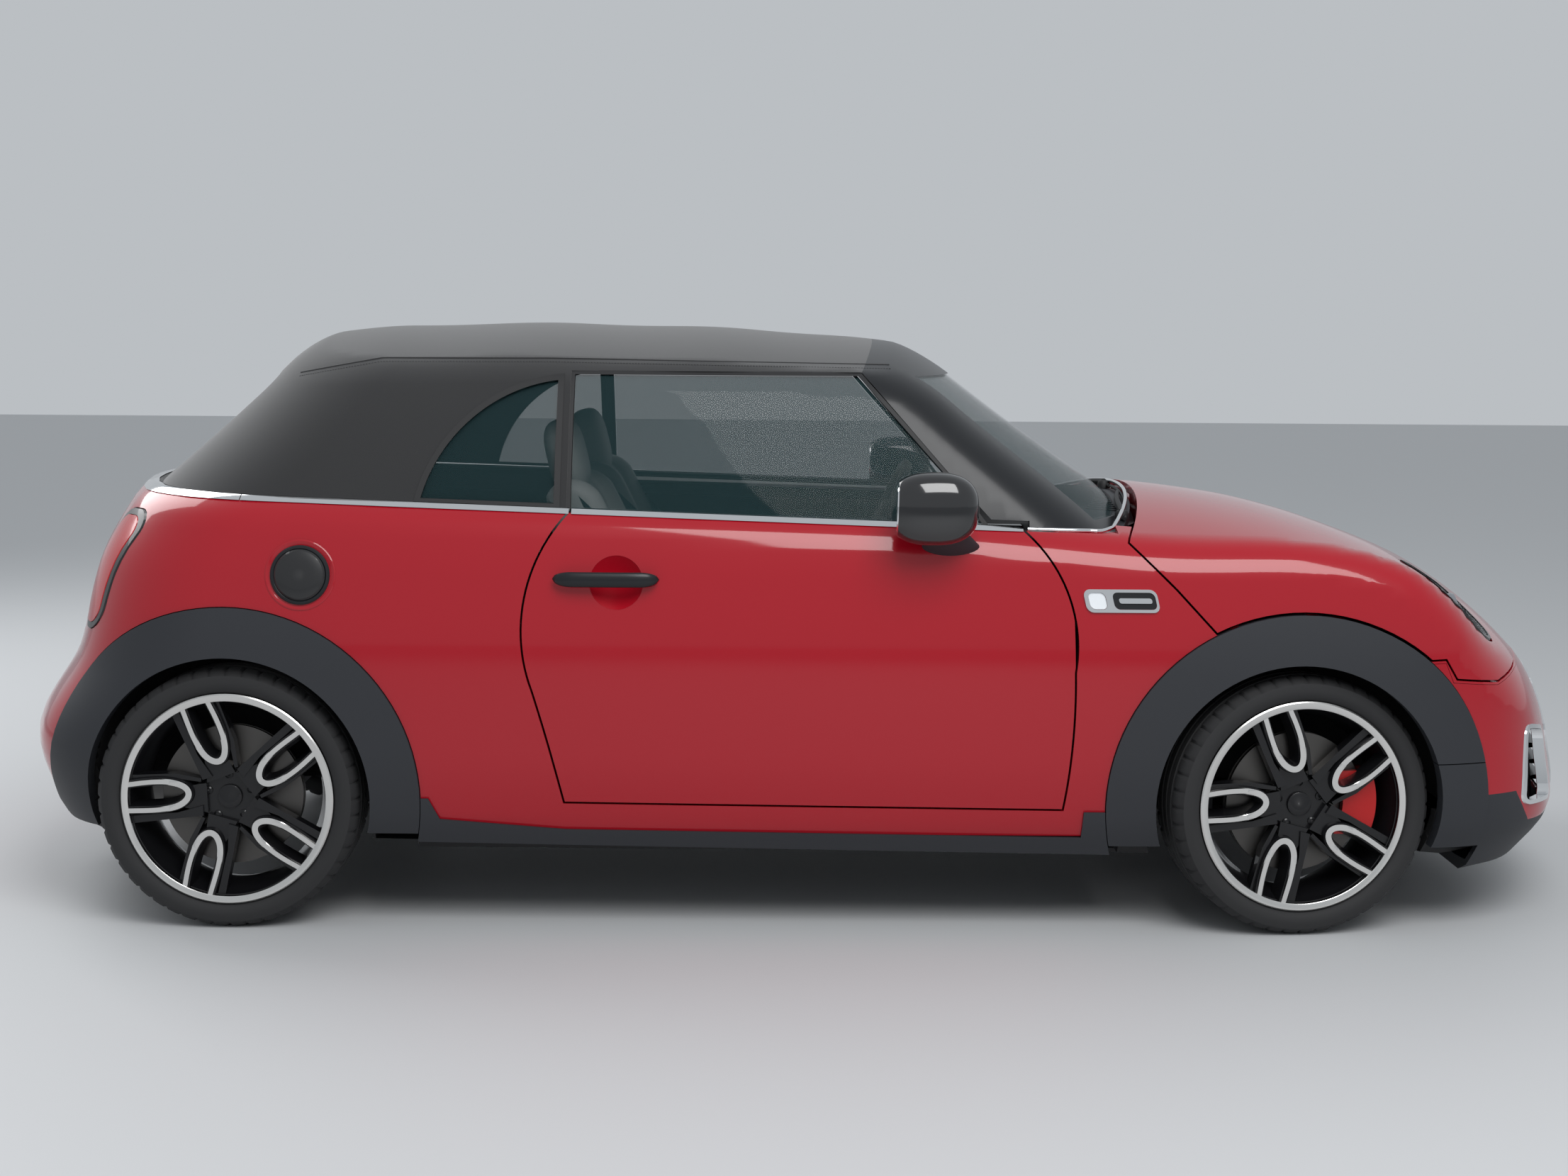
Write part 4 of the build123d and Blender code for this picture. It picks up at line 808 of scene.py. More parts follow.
door_pane_outline = [(b_post_x, belt_height(b_post_x)), pillar_foot, pillar_mid, pillar_top,
                     (b_post_x, glass_top_z)]
door_pane = inside(glass_skin, prism(door_pane_outline, -1.1, -0.4))
for side, mesh in (("right", door_pane), ("left", mirrored(door_pane))):
    on_form(mesh, CANOPY_FORM, glass_outer, glass_inner)
    piece("door_pane_" + side, mesh, "door_" + side, "glass", clear_glass, stands_for=["door_glass_" + side])

# Windscreen frame: steel pillars and header under gloss black covers, in one curve with the glass.
# It is welded to the bulkhead at its feet.
black_gloss = finish("black_gloss", (0.007, 0.008, 0.010), 0.4, coat=0.35, Coat_Roughness=0.22,
                     Specular_IOR_Level=0.25)
frame_depth, frame_front_x, foot_x, foot_height = 0.028, 1.1, 0.535, 0.024
frame_outline = [(foot_x, belt_height(foot_x)), (foot_x, belt_height(foot_x) + foot_height),
                 (0.446, belt_height(0.446) + foot_height), (pillar_mid[0] + seal_gap, pillar_mid[1] + 0.004),
                 (pillar_top[0] + seal_gap, glass_top_z + seal_gap), (header_x, above_roof_z),
                 (frame_front_x, above_roof_z), (frame_front_x, belt_height(frame_front_x))]
screen_frame = inside(canopy_shell(CANOPY_FORM, 0.0, -frame_depth), prism(frame_outline, -1.1, 1.1))
for room in (prism(screen_outline, 0.15, 1.1, "x"), bonnet_block(visible_gap), cad_copy("cowl")):
    screen_frame = combined(screen_frame, room)
on_form(screen_frame, CANOPY_FORM, 0.0, -frame_depth)
piece("windscreen_surround", screen_frame, "body", "black_gloss", black_gloss, stands_for=["windscreen_frame"])

# Window seals: black rubber lips round the door panes and quarter windows, with a post between them.
# They are moulded in lengths and pressed into the hood's hem and the windscreen frame.
seal_black = finish("seal_black", (0.010, 0.010, 0.011), 0.6)
seal_width = 0.011


def window_seal(outline, shell, outwards, inwards):
    """A rubber seal in a layer of the glasshouse, round a window's outline and above the belt trim."""
    band = inside(shell, prism(widened(outline, outwards), -1.1, -0.4))
    return inside(combined(band, prism(widened(outline, inwards), -1.2, -0.3)), above_trim)


above_trim = prism([(behind_hood_x, belt_height(behind_hood_x) + trim_height),
                    (1.2, belt_height(1.2) + trim_height), (1.2, past_roof_z), (behind_hood_x, past_roof_z)],
                   -past_side_y, past_side_y)
pane_seal = window_seal(door_pane_outline, canopy_shell(CANOPY_FORM, -0.0015, -0.024), seal_width, 0.0015)
quarter_seal = window_seal(quarter_outline, canopy_shell(HOOD_FORM, 0.0015, -0.016), 0.006, -0.008)
seals = joined(pair(pane_seal), pair(quarter_seal))
piece("window_seals", flat_shaded(seals), "body", "black_plastic", seal_black)

# Belt strip: a narrow chromed strip on the body's top edge round the hood, and one on each door.
# A dark rubber ledge closes the gap between the strip and the hood's hem or the glass.
chrome = finish("chrome", (0.78, 0.79, 0.80), 0.08, metallic=1.0)
strip_height, strip_depth, strip_stand = 0.011, 0.012, 0.003
ledge_height, ledge_depth = 0.009, 0.046
door_strip_rear, door_strip_front, body_strip_front, strip_joint = -0.528, 0.520, -0.534, (-1.302, -1.300)


def belt_band(rear, front, height=strip_height):
    """A block that follows the belt line."""
    return prism([(rear, belt_height(rear)), (front, belt_height(front)),
                  (front, belt_height(front) + height), (rear, belt_height(rear) + height)],
                 -past_side_y, past_side_y)


strip_skin = body_layer(strip_stand, -strip_depth, FINE, FINE)
body_strip = joined(inside(strip_skin, belt_band(past_tail_x, strip_joint[0])),
                    inside(strip_skin, belt_band(strip_joint[1], body_strip_front)))
on_form(body_strip, BODY_FORM, strip_stand, -strip_depth)
piece("belt_strip", body_strip, "body", "chrome", chrome, stands_for=["belt_trim"])
right_half = prism(rectangle(-1, 1, -1, 0), 0.8, 1.2, "z")
door_strip = inside(inside(strip_skin, belt_band(door_strip_rear, door_strip_front)), right_half)
for side, mesh in (("right", door_strip), ("left", mirrored(door_strip))):
    on_form(mesh, BODY_FORM, strip_stand, -strip_depth)
    piece("door_strip_" + side, mesh, "door_" + side, "chrome", chrome)

cabin_plan = [(-1.54, -0.40), (-1.40, -0.60), (-0.60, -0.72), (0.523, -0.72), (0.523, 0.72), (-0.60, 0.72),
              (-1.40, 0.60), (-1.54, 0.40)]
ledge_skin = combined(body_layer(-strip_depth - 0.0005, -ledge_depth, COARSE), prism(cabin_plan, 0.8, 1.2, "z"))
body_ledge = inside(ledge_skin, belt_band(past_tail_x, body_strip_front, ledge_height))
front_ledge = combined(inside(ledge_skin, belt_band(0.526, 0.700, ledge_height)),
                       prism(rectangle(0.4, 0.9, -0.66, 0.66), 0.8, 1.2, "z"))
piece("belt_ledge", flat_shaded(joined(body_ledge, front_ledge)), "body", "black_plastic", seal_black)
door_ledge = inside(inside(ledge_skin, belt_band(door_strip_rear, door_strip_front, ledge_height)), right_half)
for side, mesh in (("right", door_ledge), ("left", mirrored(door_ledge))):
    piece("door_ledge_" + side, flat_shaded(mesh), "door_" + side, "black_plastic", seal_black)

# Scuttle strip: the belt strip goes on as a round chromed bead, along the pillars' feet and round the bonnet's
# rear edge. It is one drawn bar.
strip_back, bead_radius, bead_sink = 0.020, 0.005, 0.004


def lathe(profile, steps=96):
    """A turned piece: (radius, height) points about the local z axis."""
    t = 2 * np.pi * np.arange(steps) / steps
    rings = [[(r * math.cos(a), r * math.sin(a), h) for a in t] for r, h in profile]
    return skinned(rings, closed=profile[0][0] > 1e-4 and profile[-1][0] > 1e-4)


def moved(mesh, matrix):
    """A copy of a piece, put in its place."""
    out = mesh.copy()
    out.transform(matrix)
    return out


def side_point(x, z, form=None, level=0.0):
    """The skin's point at (x, z) on the car's right side."""
    low, high = 0.0, 1.2
    for _ in range(40):
        middle = (low + high) / 2
        if form_distance(form or BODY_FORM, np.array([(x, -middle, z)]))[0] > level:
            high = middle
        else:
            low = middle
    return np.array([x, -low, z])


def side_frame(x, z):
    """A matrix whose z axis leaves the skin at (x, z) on the right side, with its x axis along the car."""
    p = side_point(x, z)
    out = Vector(gradient(BODY_FORM, p[None])[0])
    along = (Vector((1, 0, 0)) - out * out.x).normalized()
    up = out.cross(along)
    m = Matrix((along, up, out)).transposed().to_4x4()
    m.translation = Vector(p)
    return m


def curve_through(points, steps=6):
    """More points on a smooth line through points."""
    p = np.vstack([2 * points[0] - points[1], points, 2 * points[-1] - points[-2]])
    out = []
    for i in range(1, len(p) - 2):
        for k in range(steps):
            u = k / steps
            out.append(0.5 * (2 * p[i] + (p[i + 1] - p[i - 1]) * u
                              + (2 * p[i - 1] - 5 * p[i] + 4 * p[i + 1] - p[i + 2]) * u * u
                              + (3 * p[i] - p[i - 1] - 3 * p[i + 1] + p[i + 2]) * u ** 3))
    return np.array(out + [p[-2]])


def crown_height(x, y):
    """Height of the body form's crowned top at a plan point."""
    return float(top_height(np.array([x]), np.array([y]), BONNET_SECTIONS, BODY_FORM["edge"])[0])


bead_plan = arc((bonnet_corner_x - strip_back, -0.70), (bonnet_rear_x - strip_back, 0),
                (bonnet_corner_x - strip_back, 0.70), 60)
bonnet_edge = [(x, y, crown_height(x, y) - bead_sink) for x, y in bead_plan]
pillar_foot_line = [tuple(side_point(x, belt_height(x) + 0.005, level=-0.001))
                    for x in np.linspace(0.530, 0.718, 20)]
bead_line = curve_through(np.array(pillar_foot_line[::3] + bonnet_edge[:1]), 4)
bead_line = [tuple(p) for p in bead_line[:-1]]
bead = tube(bead_line + bonnet_edge + [(x, -y, z) for x, y, z in bead_line[::-1]], bead_radius, 16)
piece("scuttle_strip", bead, "body", "chrome", chrome)

# Tyres: low-profile road tyres of black rubber, with grooves round the tread and notched shoulders.
# They are moulded in one and seated on the rims.
rubber = grained(finish("rubber", (0.018, 0.018, 0.019), 0.78), 400, 0.15)
tyre_profile = [(0.229, -0.082), (0.248, -0.087), (0.252, -0.096), (0.262, -0.1035), (0.276, -0.1055),
                (0.290, -0.1020), (0.300, -0.0900), (0.3045, -0.0780), (0.3055, -0.0620), (0.3055, -0.0560),
                (0.2995, -0.0545), (0.2995, -0.0475), (0.3058, -0.0460), (0.3060, -0.0230),
                (0.3000, -0.0215), (0.3000, -0.0125), (0.3060, -0.0110)]
tyre_profile += [(r, -y) for r, y in reversed(tyre_profile)]
tread_steps, notch_every, notch_depth = 288, 6, 0.0045
t = 2 * np.pi * np.arange(tread_steps) / tread_steps
tyre_rings = []
for r, y in tyre_profile:
    notch = notch_depth if abs(y) > 0.055 and r > 0.2995 else 0.0
    radii = np.where(np.arange(tread_steps) % notch_every == 0, r - notch, r)
    tyre_rings.append(np.stack([radii * np.cos(t), np.full(tread_steps, y), radii * np.sin(t)], 1))
tyre_mesh = skinned(tyre_rings, closed=True)

# Wheels: cast alloy rims with five teardrop loops that open onto the outer ring, held by five bolts.
# The faces of loops and ring are turned bright and the rest is gloss black; a steel brake disc turns with each.

# along the loop's axis from the hub, across it
LOOP_LINE = np.array([(0.238, 0.0190), (0.215, 0.0195), (0.190, 0.0202), (0.162, 0.0200), (0.136, 0.0175),
                      (0.112, 0.0110), (0.095, -0.0010), (0.089, -0.0150), (0.095, -0.0285),
                      (0.112, -0.0385), (0.138, -0.0445), (0.165, -0.0462), (0.192, -0.0455),
                      (0.216, -0.0435), (0.238, -0.0415)])
loop_heading, loop_count = 182.5, 5
ring_outer, ring_inner, face_y = 0.248, 0.2305, -0.0965
dish_depth, dish_radius = 0.012, 0.235
bright_metal = finish("bright_metal", (0.70, 0.69, 0.67), 0.22, metallic=1.0)
wheel_black = finish("wheel_black", (0.006, 0.006, 0.007), 0.35, coat=0.45, Specular_IOR_Level=0.2)
disc_steel = finish("disc_steel", (0.11, 0.105, 0.10), 0.4, metallic=1.0)


def loop_bar(front_width, back_width, front, back):
    """A bar along the loop's line, wider at its back; front and back are heights along the axle."""
    line = curve_through(LOOP_LINE)
    along = np.gradient(line, axis=0)
    along /= np.linalg.norm(along, axis=1)[:, None]
    across = np.stack([-along[:, 1], along[:, 0]], 1)
    rings = []
    for p, n in zip(line, across):
        dish = dish_depth * (1 - min(np.hypot(*p) / dish_radius, 1))
        section = [(-front_width / 2, front + dish), (front_width / 2, front + dish),
                   (back_width / 2, back), (-back_width / 2, back)]
        rings.append([(p[0] + n[0] * a, y, p[1] + n[1] * a) for a, y in section])
    return skinned(rings)


def repeats_tree(name, shape):
    """A Geometry Nodes tree that repeats a piece along a straight row or round a circle."""
    tree = bpy.data.node_groups.new(name, "GeometryNodeTree")
    socket = tree.interface.new_socket
    socket(name="Geometry", in_out="INPUT", socket_type="NodeSocketGeometry")
    count = socket(name="Count", in_out="INPUT", socket_type="NodeSocketInt")
    reach = socket(name="Step", in_out="INPUT", socket_type="NodeSocketVector")
    radius = socket(name="Radius", in_out="INPUT", socket_type="NodeSocketFloat")
    finish_in = socket(name="Finish", in_out="INPUT", socket_type="NodeSocketMaterial")
    socket(name="Geometry", in_out="OUTPUT", socket_type="NodeSocketGeometry")
    nodes, links = tree.nodes, tree.links
    given, result = nodes.new("NodeGroupInput"), nodes.new("NodeGroupOutput")
    spread = nodes.new("GeometryNodeInstanceOnPoints")
    real, paint = nodes.new("GeometryNodeRealizeInstances"), nodes.new("GeometryNodeSetMaterial")
    if shape == "row":
        points = nodes.new("GeometryNodeMeshLine")
        points.mode = "OFFSET"
        links.new(given.outputs["Count"], points.inputs["Count"])
        links.new(given.outputs["Step"], points.inputs["Offset"])
    else:
        points = nodes.new("GeometryNodeMeshCircle")
        links.new(given.outputs["Count"], points.inputs["Vertices"])
        links.new(given.outputs["Radius"], points.inputs["Radius"])
    links.new(points.outputs["Mesh"], spread.inputs["Points"])
    links.new(given.outputs["Geometry"], spread.inputs["Instance"])
    links.new(spread.outputs["Instances"], real.inputs["Geometry"])
    links.new(real.outputs["Geometry"], paint.inputs["Geometry"])
    links.new(given.outputs["Finish"], paint.inputs["Material"])
    links.new(paint.outputs["Geometry"], result.inputs["Geometry"])
    return tree, {each.name: each.identifier for each in (count, reach, radius, finish_in)}


row_tree = repeats_tree("row_of_pieces", "row")
circle_tree = repeats_tree("circle_of_pieces", "circle")


def repeated(mesh, tree, **values):
    """The mesh that a tree makes from one piece."""
    work = solid_object("work", mesh)
    nodes = work.modifiers.new("repeats", "NODES")
    nodes.node_group = tree[0]
    for name, value in values.items():
        nodes[tree[1][name]] = value
    result = bpy.data.meshes.new_from_object(work.evaluated_get(bpy.context.evaluated_depsgraph_get()))
    work.modifiers.remove(nodes)
    bpy.data.objects.remove(work)
    return result


bright_loop = loop_bar(0.0110, 0.0140, face_y, face_y + 0.006)
black_loop = loop_bar(0.0185, 0.036, face_y + 0.0055, face_y + 0.050)
flank_upper = [(0.060, 0.016), (0.120, 0.030), (0.234, 0.034), (0.234, 0.052), (0.120, 0.044), (0.060, 0.040)]
flank_lower = [(0.062, -0.040), (0.120, -0.050), (0.234, -0.052), (0.234, -0.062), (0.120, -0.062),
               (0.060, -0.048)]
loop_root = [(0.050, -0.036), (0.100, -0.030), (0.094, -0.015), (0.102, 0.006), (0.112, 0.018), (0.050, 0.034)]
flank = joined(*[prism(points, face_y + front, face_y + back) for points, front, back in
                 ((flank_upper, 0.016, 0.050), (flank_lower, 0.018, 0.050), (loop_root, 0.022, 0.055))])
turns = [Matrix.Rotation(-math.radians(loop_heading - 72 * i), 4, "Y") for i in range(loop_count)]
to_axle = Matrix.Rotation(math.radians(90), 4, "X")
bright_ring = lathe([(ring_inner, 0.0895), (ring_inner, -face_y), (ring_inner + 0.002, 0.0978),
                     (ring_outer - 0.003, 0.0985), (ring_outer, -face_y), (ring_outer, 0.0895)], 144)
bright_wheel = joined(*[moved(bright_loop, m) for m in turns], moved(bright_ring, to_axle))
hub = lathe([(0.0, 0.066), (0.024, 0.066), (0.028, 0.064), (0.029, 0.058), (0.066, 0.060), (0.076, 0.054),
             (0.080, 0.030), (0.0, 0.030)])
rim = lathe([(ring_inner, 0.0895), (ring_outer, 0.0895), (ring_outer, 0.086), (0.229, 0.081),
             (0.229, -0.081), (ring_outer, -0.086), (ring_outer, -0.097), (0.223, -0.097),
             (0.217, -0.070), (0.205, 0.0), (0.222, 0.060), (ring_inner, 0.080)], 144)
bolt = lathe([(0.0, 0.0), (0.006, 0.0), (0.0065, 0.002), (0.0095, 0.0), (0.0105, -0.006), (0.0, -0.006)], 24)
bolt_count, bolt_circle, bolt_y, bolt_turn = 5, 0.052, -0.0625, math.radians(20)
bolts = repeated(bolt, circle_tree, Count=bolt_count, Radius=bolt_circle, Finish=wheel_black)
bolts = moved(bolts, Matrix.Translation((0, bolt_y, 0)) @ to_axle @ Matrix.Rotation(bolt_turn, 4, "Z"))
black_wheel = joined(*[moved(black_loop, m) for m in turns], *[moved(flank, m) for m in turns],
                     moved(hub, to_axle), moved(rim, to_axle), bolts)
disc_radius, vent_radius = 0.165, 0.150
disc_profile = [(0.0, 0.028), (disc_radius, 0.028), (disc_radius, 0.019), (vent_radius, 0.018),
                (vent_radius, 0.010), (disc_radius, 0.009), (disc_radius, 0.0), (0.0, 0.0)]
brake_disc = moved(lathe(disc_profile, 96), to_axle)
front_wheel_turn = 7
for end, axle_x, steer in (("front", front_axle_x, front_wheel_turn), ("rear", rear_axle_x, 0)):
    for side, sign in (("right", -1), ("left", 1)):
        turn = Matrix.Rotation(math.radians(steer + (0 if sign < 0 else 180)), 4, "Z")
        place = Matrix.Translation((axle_x, sign * track / 2, hub_z)) @ turn
        body, tyre = "wheel_%s_%s" % (end, side), "tyre_%s_%s" % (end, side)
        piece(tyre + "_rubber", moved(tyre_mesh, place), body, "rubber", rubber, stands_for=[tyre])
        piece(body + "_bright", moved(bright_wheel, place), body, "wheel_black", bright_metal)
        piece(body + "_black", moved(black_wheel, place), body, "wheel_black", wheel_black, stands_for=[body])
        piece(body + "_disc", moved(brake_disc, place), body, "steel", disc_steel)

# Headlamps: an oval clear plastic lens in a black rim that follows the wing and the bonnet.
# Under it lies a bright bowl with a ring light, a turn light and a projector with its own lens.
lamp_black = finish("lamp_black", (0.010, 0.010, 0.011), 0.35, coat=0.3)
lamp_bowl = finish("lamp_bowl", (0.42, 0.44, 0.47), 0.15, metallic=1.0)
lamp_clear = finish("lamp_clear", (0.92, 0.95, 0.97), 0.02, Transmission_Weight=1.0, IOR=1.3, Alpha=0.25)
lamp_white = finish("lamp_white", (0.80, 0.83, 0.86), 0.3)
lens_level, rim_level, rim_back, bed_level = 0.0015, 0.003, -0.030, -0.038
lens_skin = body_layer(lens_level, -0.002, FINE, FINE)
rim_skin = body_layer(rim_level, rim_back)
bed_skin = body_layer(bed_level, -0.060)
lamp_lens = inside(lens_skin, lamp_block(-0.006))
lamp_rim = combined(inside(rim_skin, lamp_block(-0.001)), lamp_block(-0.009))
lamp_bed = inside(bed_skin, lamp_block(-0.004))


def oval_ring(scale, depth, count=64):
    """Points of a smaller oval inside the lamp, at a depth under its lens."""
    out = []
    for a in np.linspace(0, 2 * math.pi, count, endpoint=False):
        p = lamp_centre + lamp_long * (lamp_half[0] * scale * math.cos(a))
        p += lamp_wide * (lamp_half[1] * scale * math.sin(a))
        t = np.linspace(-0.25, 0.25, 400)
        line = np.array(p) + t[:, None] * np.array(lamp_axis)
        reach = form_distance(BODY_FORM, line)
        out.append(line[np.argmax(reach > -depth)])
    return out


ring_light = tube(oval_ring(0.80, 0.026), 0.0055, closed=True)
turn_light = tube(oval_ring(0.93, 0.024), 0.004, closed=True)
projector_at = Vector(oval_ring(0.0, 0.040, 1)[0]) + lamp_long * 0.025
outward = Vector(gradient(BODY_FORM, np.array(projector_at)[None])[0])
beam = Vector((outward.x, outward.y * 0.8, outward.z * 0.4)).normalized()
projector_place = Matrix.Translation(projector_at) @ beam.to_track_quat("Z", "Y").to_matrix().to_4x4()
projector = moved(lathe([(0.0, 0.0), (0.046, 0.0), (0.048, 0.014), (0.044, 0.020), (0.040, 0.012),
                         (0.0, 0.004)], 64), projector_place)
bulb_lens = moved(lathe([(0.0, 0.004), (0.036, 0.006), (0.034, 0.014), (0.026, 0.021), (0.014, 0.026),
                         (0.0, 0.028)], 64), projector_place)
for level, mesh in ((lens_level, lamp_lens), (rim_level, lamp_rim), (bed_level, lamp_bed)):
    on_form(mesh, BODY_FORM, level)
piece("headlamp_lenses", pair(lamp_lens), "body", "lamp_clear", lamp_clear, stands_for=["headlamps"])
piece("headlamp_rims", pair(lamp_rim), "body", "black_gloss", lamp_black)
piece("headlamp_beds", joined(pair(lamp_bed), pair(projector)), "body", "chrome", lamp_bowl)
piece("headlamp_lights", joined(pair(ring_light), pair(turn_light)), "body", "lamp_clear", lamp_white)
piece("headlamp_projectors", pair(bulb_lens), "body", "lamp_clear", lamp_clear)

# Tail lamps: upright lamps of red plastic in a dark frame, set into the tail beside the tailgate.
# The lens stands just proud of the frame.
lamp_red = finish("lamp_red", (0.50, 0.003, 0.006), 0.2, coat=0.5)
tail_level, tail_back = 0.0045, -0.02
tail_rim = combined(inside(rim_skin, prism(tail_oval(0.0), -2.0, -1.45, "x")),
                    prism(tail_oval(0.014), past_tail_x, -1.4, "x"))
tail_lens = inside(body_layer(tail_level, tail_back), prism(tail_oval(0.015), past_tail_x, -1.4, "x"))
on_form(tail_rim, BODY_FORM, rim_level, rim_back)
on_form(tail_lens, BODY_FORM, tail_level, tail_back)
piece("tail_lamp_frames", pair(tail_rim), "body", "black_gloss", lamp_black, stands_for=["tail_lamps"])
piece("tail_lamp_lenses", pair(tail_lens), "body", "lamp_red", lamp_red)

# Door mirrors: gloss black plastic caps on dark feet, screwed to the doors ahead of the panes.
# A flat silvered glass closes the back of each cap.
mirror_centre, mirror_half, mirror_wall = (0.303, -0.903, 1.000), (0.104, 0.063, 0.083), (0.006, 0.006, 0.007)


def rounded_body(centre, half, power=2.6, steps=(48, 32)):
    """A pillow-shaped solid: an ellipsoid with squared shoulders."""
    u, v = np.linspace(0, 2 * np.pi, steps[0], endpoint=False), np.linspace(-np.pi / 2, np.pi / 2, steps[1])
    curve = lambda a: np.sign(a) * np.abs(a) ** (2 / power)
    rings = [[(centre[0] + half[0] * curve(math.cos(b)) * curve(math.cos(a)),
               centre[1] + half[1] * curve(math.cos(b)) * curve(math.sin(a)),
               centre[2] + half[2] * curve(math.sin(b))) for a in u] for b in v[1:-1]]
    return skinned(rings)


mirror_black = finish("mirror_black", (0.006, 0.006, 0.007), 0.12, coat=1.0)
mirror_cap = rounded_body(mirror_centre, mirror_half)
mirror_cap = combined(mirror_cap, prism([(0.1, 0.8), (0.218, 0.8), (0.228, 1.2), (0.1, 1.2)], -1.1, -0.7))
mirror_foot = skinned([[(x + rx * math.cos(a), y, z + rz * math.sin(a))
                        for a in np.linspace(0, 2 * math.pi, 24, endpoint=False)]
                       for x, y, z, rx, rz in ((0.352, -0.790, 0.895, 0.072, 0.022),
                                               (0.350, -0.820, 0.902, 0.070, 0.024),
                                               (0.345, -0.846, 0.918, 0.058, 0.026),
                                               (0.336, -0.872, 0.936, 0.048, 0.026),
                                               (0.325, -0.900, 0.950, 0.044, 0.022))])
mirror_inner = rounded_body(mirror_centre, [half - wall for half, wall in zip(mirror_half, mirror_wall)])
mirror_glass = inside(mirror_inner,
                      prism([(0.2155, 0.8), (0.220, 0.8), (0.230, 1.2), (0.2255, 1.2)], -1.1, -0.7))
mirror_silver = finish("mirror_silver", (0.85, 0.86, 0.87), 0.02, metallic=1.0)
twins = (("right", lambda mesh: mesh.copy()), ("left", mirrored))
for side, turn in twins:
    body = "door_" + side
    piece("mirror_cap_" + side, flat_shaded(turn(mirror_cap)), body, "black_gloss", mirror_black,
          stands_for=["mirror_" + side])
    piece("mirror_foot_" + side, flat_shaded(turn(mirror_foot)), body, "black_plastic", black_plastic)
    piece("mirror_glass_" + side, flat_shaded(turn(mirror_glass)), body, "chrome", mirror_silver)

# Door handles: a gloss black plastic bar across a round finger cup, pressed into the skin and painted with it.
# The bar is fixed to the door at both ends.
handle_rear, handle_front, handle_z = -0.566, -0.321, 0.829
handle_half_height, handle_half_depth, handle_stand = 0.0175, 0.0085, 0.028
handle_taper, handle_dip = 0.045, 0.016
handle_rings = []
for x in np.linspace(handle_rear, handle_front, 44):
    from_end = min(x - handle_rear, handle_front - x)
    swell = math.sqrt(1 - max(1 - from_end / handle_taper, 0) ** 2) * 0.93 + 0.07
    middle = side_point(x, handle_z, level=handle_stand - handle_dip * math.exp(-from_end / 0.020))
    handle_rings.append([(middle[0], middle[1] + handle_half_depth * swell * math.cos(a),
                          middle[2] + handle_half_height * swell * math.sin(a))
                         for a in np.linspace(0, 2 * math.pi, 24, endpoint=False)])
handle_bar = skinned(handle_rings)
cup_rings = []
for level in (0.0, -0.004):
    cup_rings.append([[side_point(cup_at[0] + cup_radius * r * math.cos(a),
                                  cup_at[1] + cup_radius * r * math.sin(a),
                                  level=level - 0.0008 - cup_depth * (1 - r * r))
                       for a in np.linspace(0, 2 * math.pi, 48, endpoint=False)]
                      for r in np.linspace(1, 0.02, 12)])
finger_cup = skinned(cup_rings[0] + cup_rings[1][::-1], closed=True)
for side, turn in twins:
    piece("handle_" + side, flat_shaded(turn(handle_bar)), "door_" + side, "black_gloss", black_gloss)
    piece("finger_cup_" + side, flat_shaded(turn(finger_cup), 60), "door_" + side, "red_paint", red_paint)

# Fuel cap: on the right rear wing, a domed black plastic cap with a gloss rim, in a ring of the body's paint.
# It turns in its neck and stays closed here.
cap_place = side_frame(-1.148, 0.832) @ Matrix.Diagonal((1.1, 1.1, 1.0, 1.0))
cap_ring = lathe([(0.0, -0.004), (0.0745, -0.004), (0.0745, 0.0008), (0.072, 0.002), (0.067, 0.0008),
                  (0.063, -0.001), (0.0, -0.001)])
cap_rim = lathe([(0.0, -0.002), (0.0625, -0.002), (0.0625, 0.004), (0.060, 0.0065), (0.056, 0.007),
                 (0.053, 0.005), (0.0, 0.005)])
cap_dome = lathe([(0.0, 0.003), (0.054, 0.003), (0.0535, 0.008), (0.050, 0.012), (0.042, 0.0145),
                  (0.030, 0.0160), (0.015, 0.0168), (0.0, 0.017)])
piece("fuel_ring", moved(cap_ring, cap_place), "body", "red_paint", red_paint, stands_for=["fuel_cap"])
piece("fuel_rim", moved(cap_rim, cap_place), "body", "black_gloss", black_gloss)
piece("fuel_cap_dome", moved(cap_dome, cap_place), "body", "black_gloss", lamp_black)

# Side scuttles: a bright-edged plate behind each front wheel, clipped into the wing.
# It holds a small clear indicator and a gloss black infill with a bright bar.
scuttle_level = 0.0045


def slanted_plate(left, right, low, high, lean=0.009, radius=0.012):
    """A block through the wing with a leaning, round-cornered outline."""
    corners = ((right - radius, low + radius, -90), (right - radius, high - radius, 0),
               (left + radius, high - radius, 90), (left + radius, low + radius, 180))
    outline = corner_arcs(corners, radius, 7)
    return prism([(x - lean * (z - low) / (high - low), z) for x, z in outline], -1.2, -0.4)


thin_skin = body_layer(scuttle_level, -0.006)
scuttle_frame = inside(thin_skin, slanted_plate(0.664, 0.833, 0.760, 0.813, 0.012, 0.016))
scuttle_frame = combined(scuttle_frame, slanted_plate(0.672, 0.712, 0.767, 0.806))
scuttle_frame = combined(scuttle_frame, slanted_plate(0.728, 0.826, 0.767, 0.806))
indicator = inside(lens_skin, slanted_plate(0.6725, 0.7115, 0.7675, 0.8055, 0.009, 0.0115))
infill = inside(lens_skin, slanted_plate(0.7285, 0.8255, 0.7675, 0.8055, 0.009, 0.0115))
bar = combined(inside(thin_skin, slanted_plate(0.738, 0.814, 0.781, 0.793, 0.003, 0.005)),
               form_solid(BODY_FORM, 0.0, BODY_SPINE, **COARSE))
for level, mesh in ((scuttle_level, scuttle_frame), (lens_level, indicator), (lens_level, infill),
                    (scuttle_level, bar)):
    on_form(mesh, BODY_FORM, level)
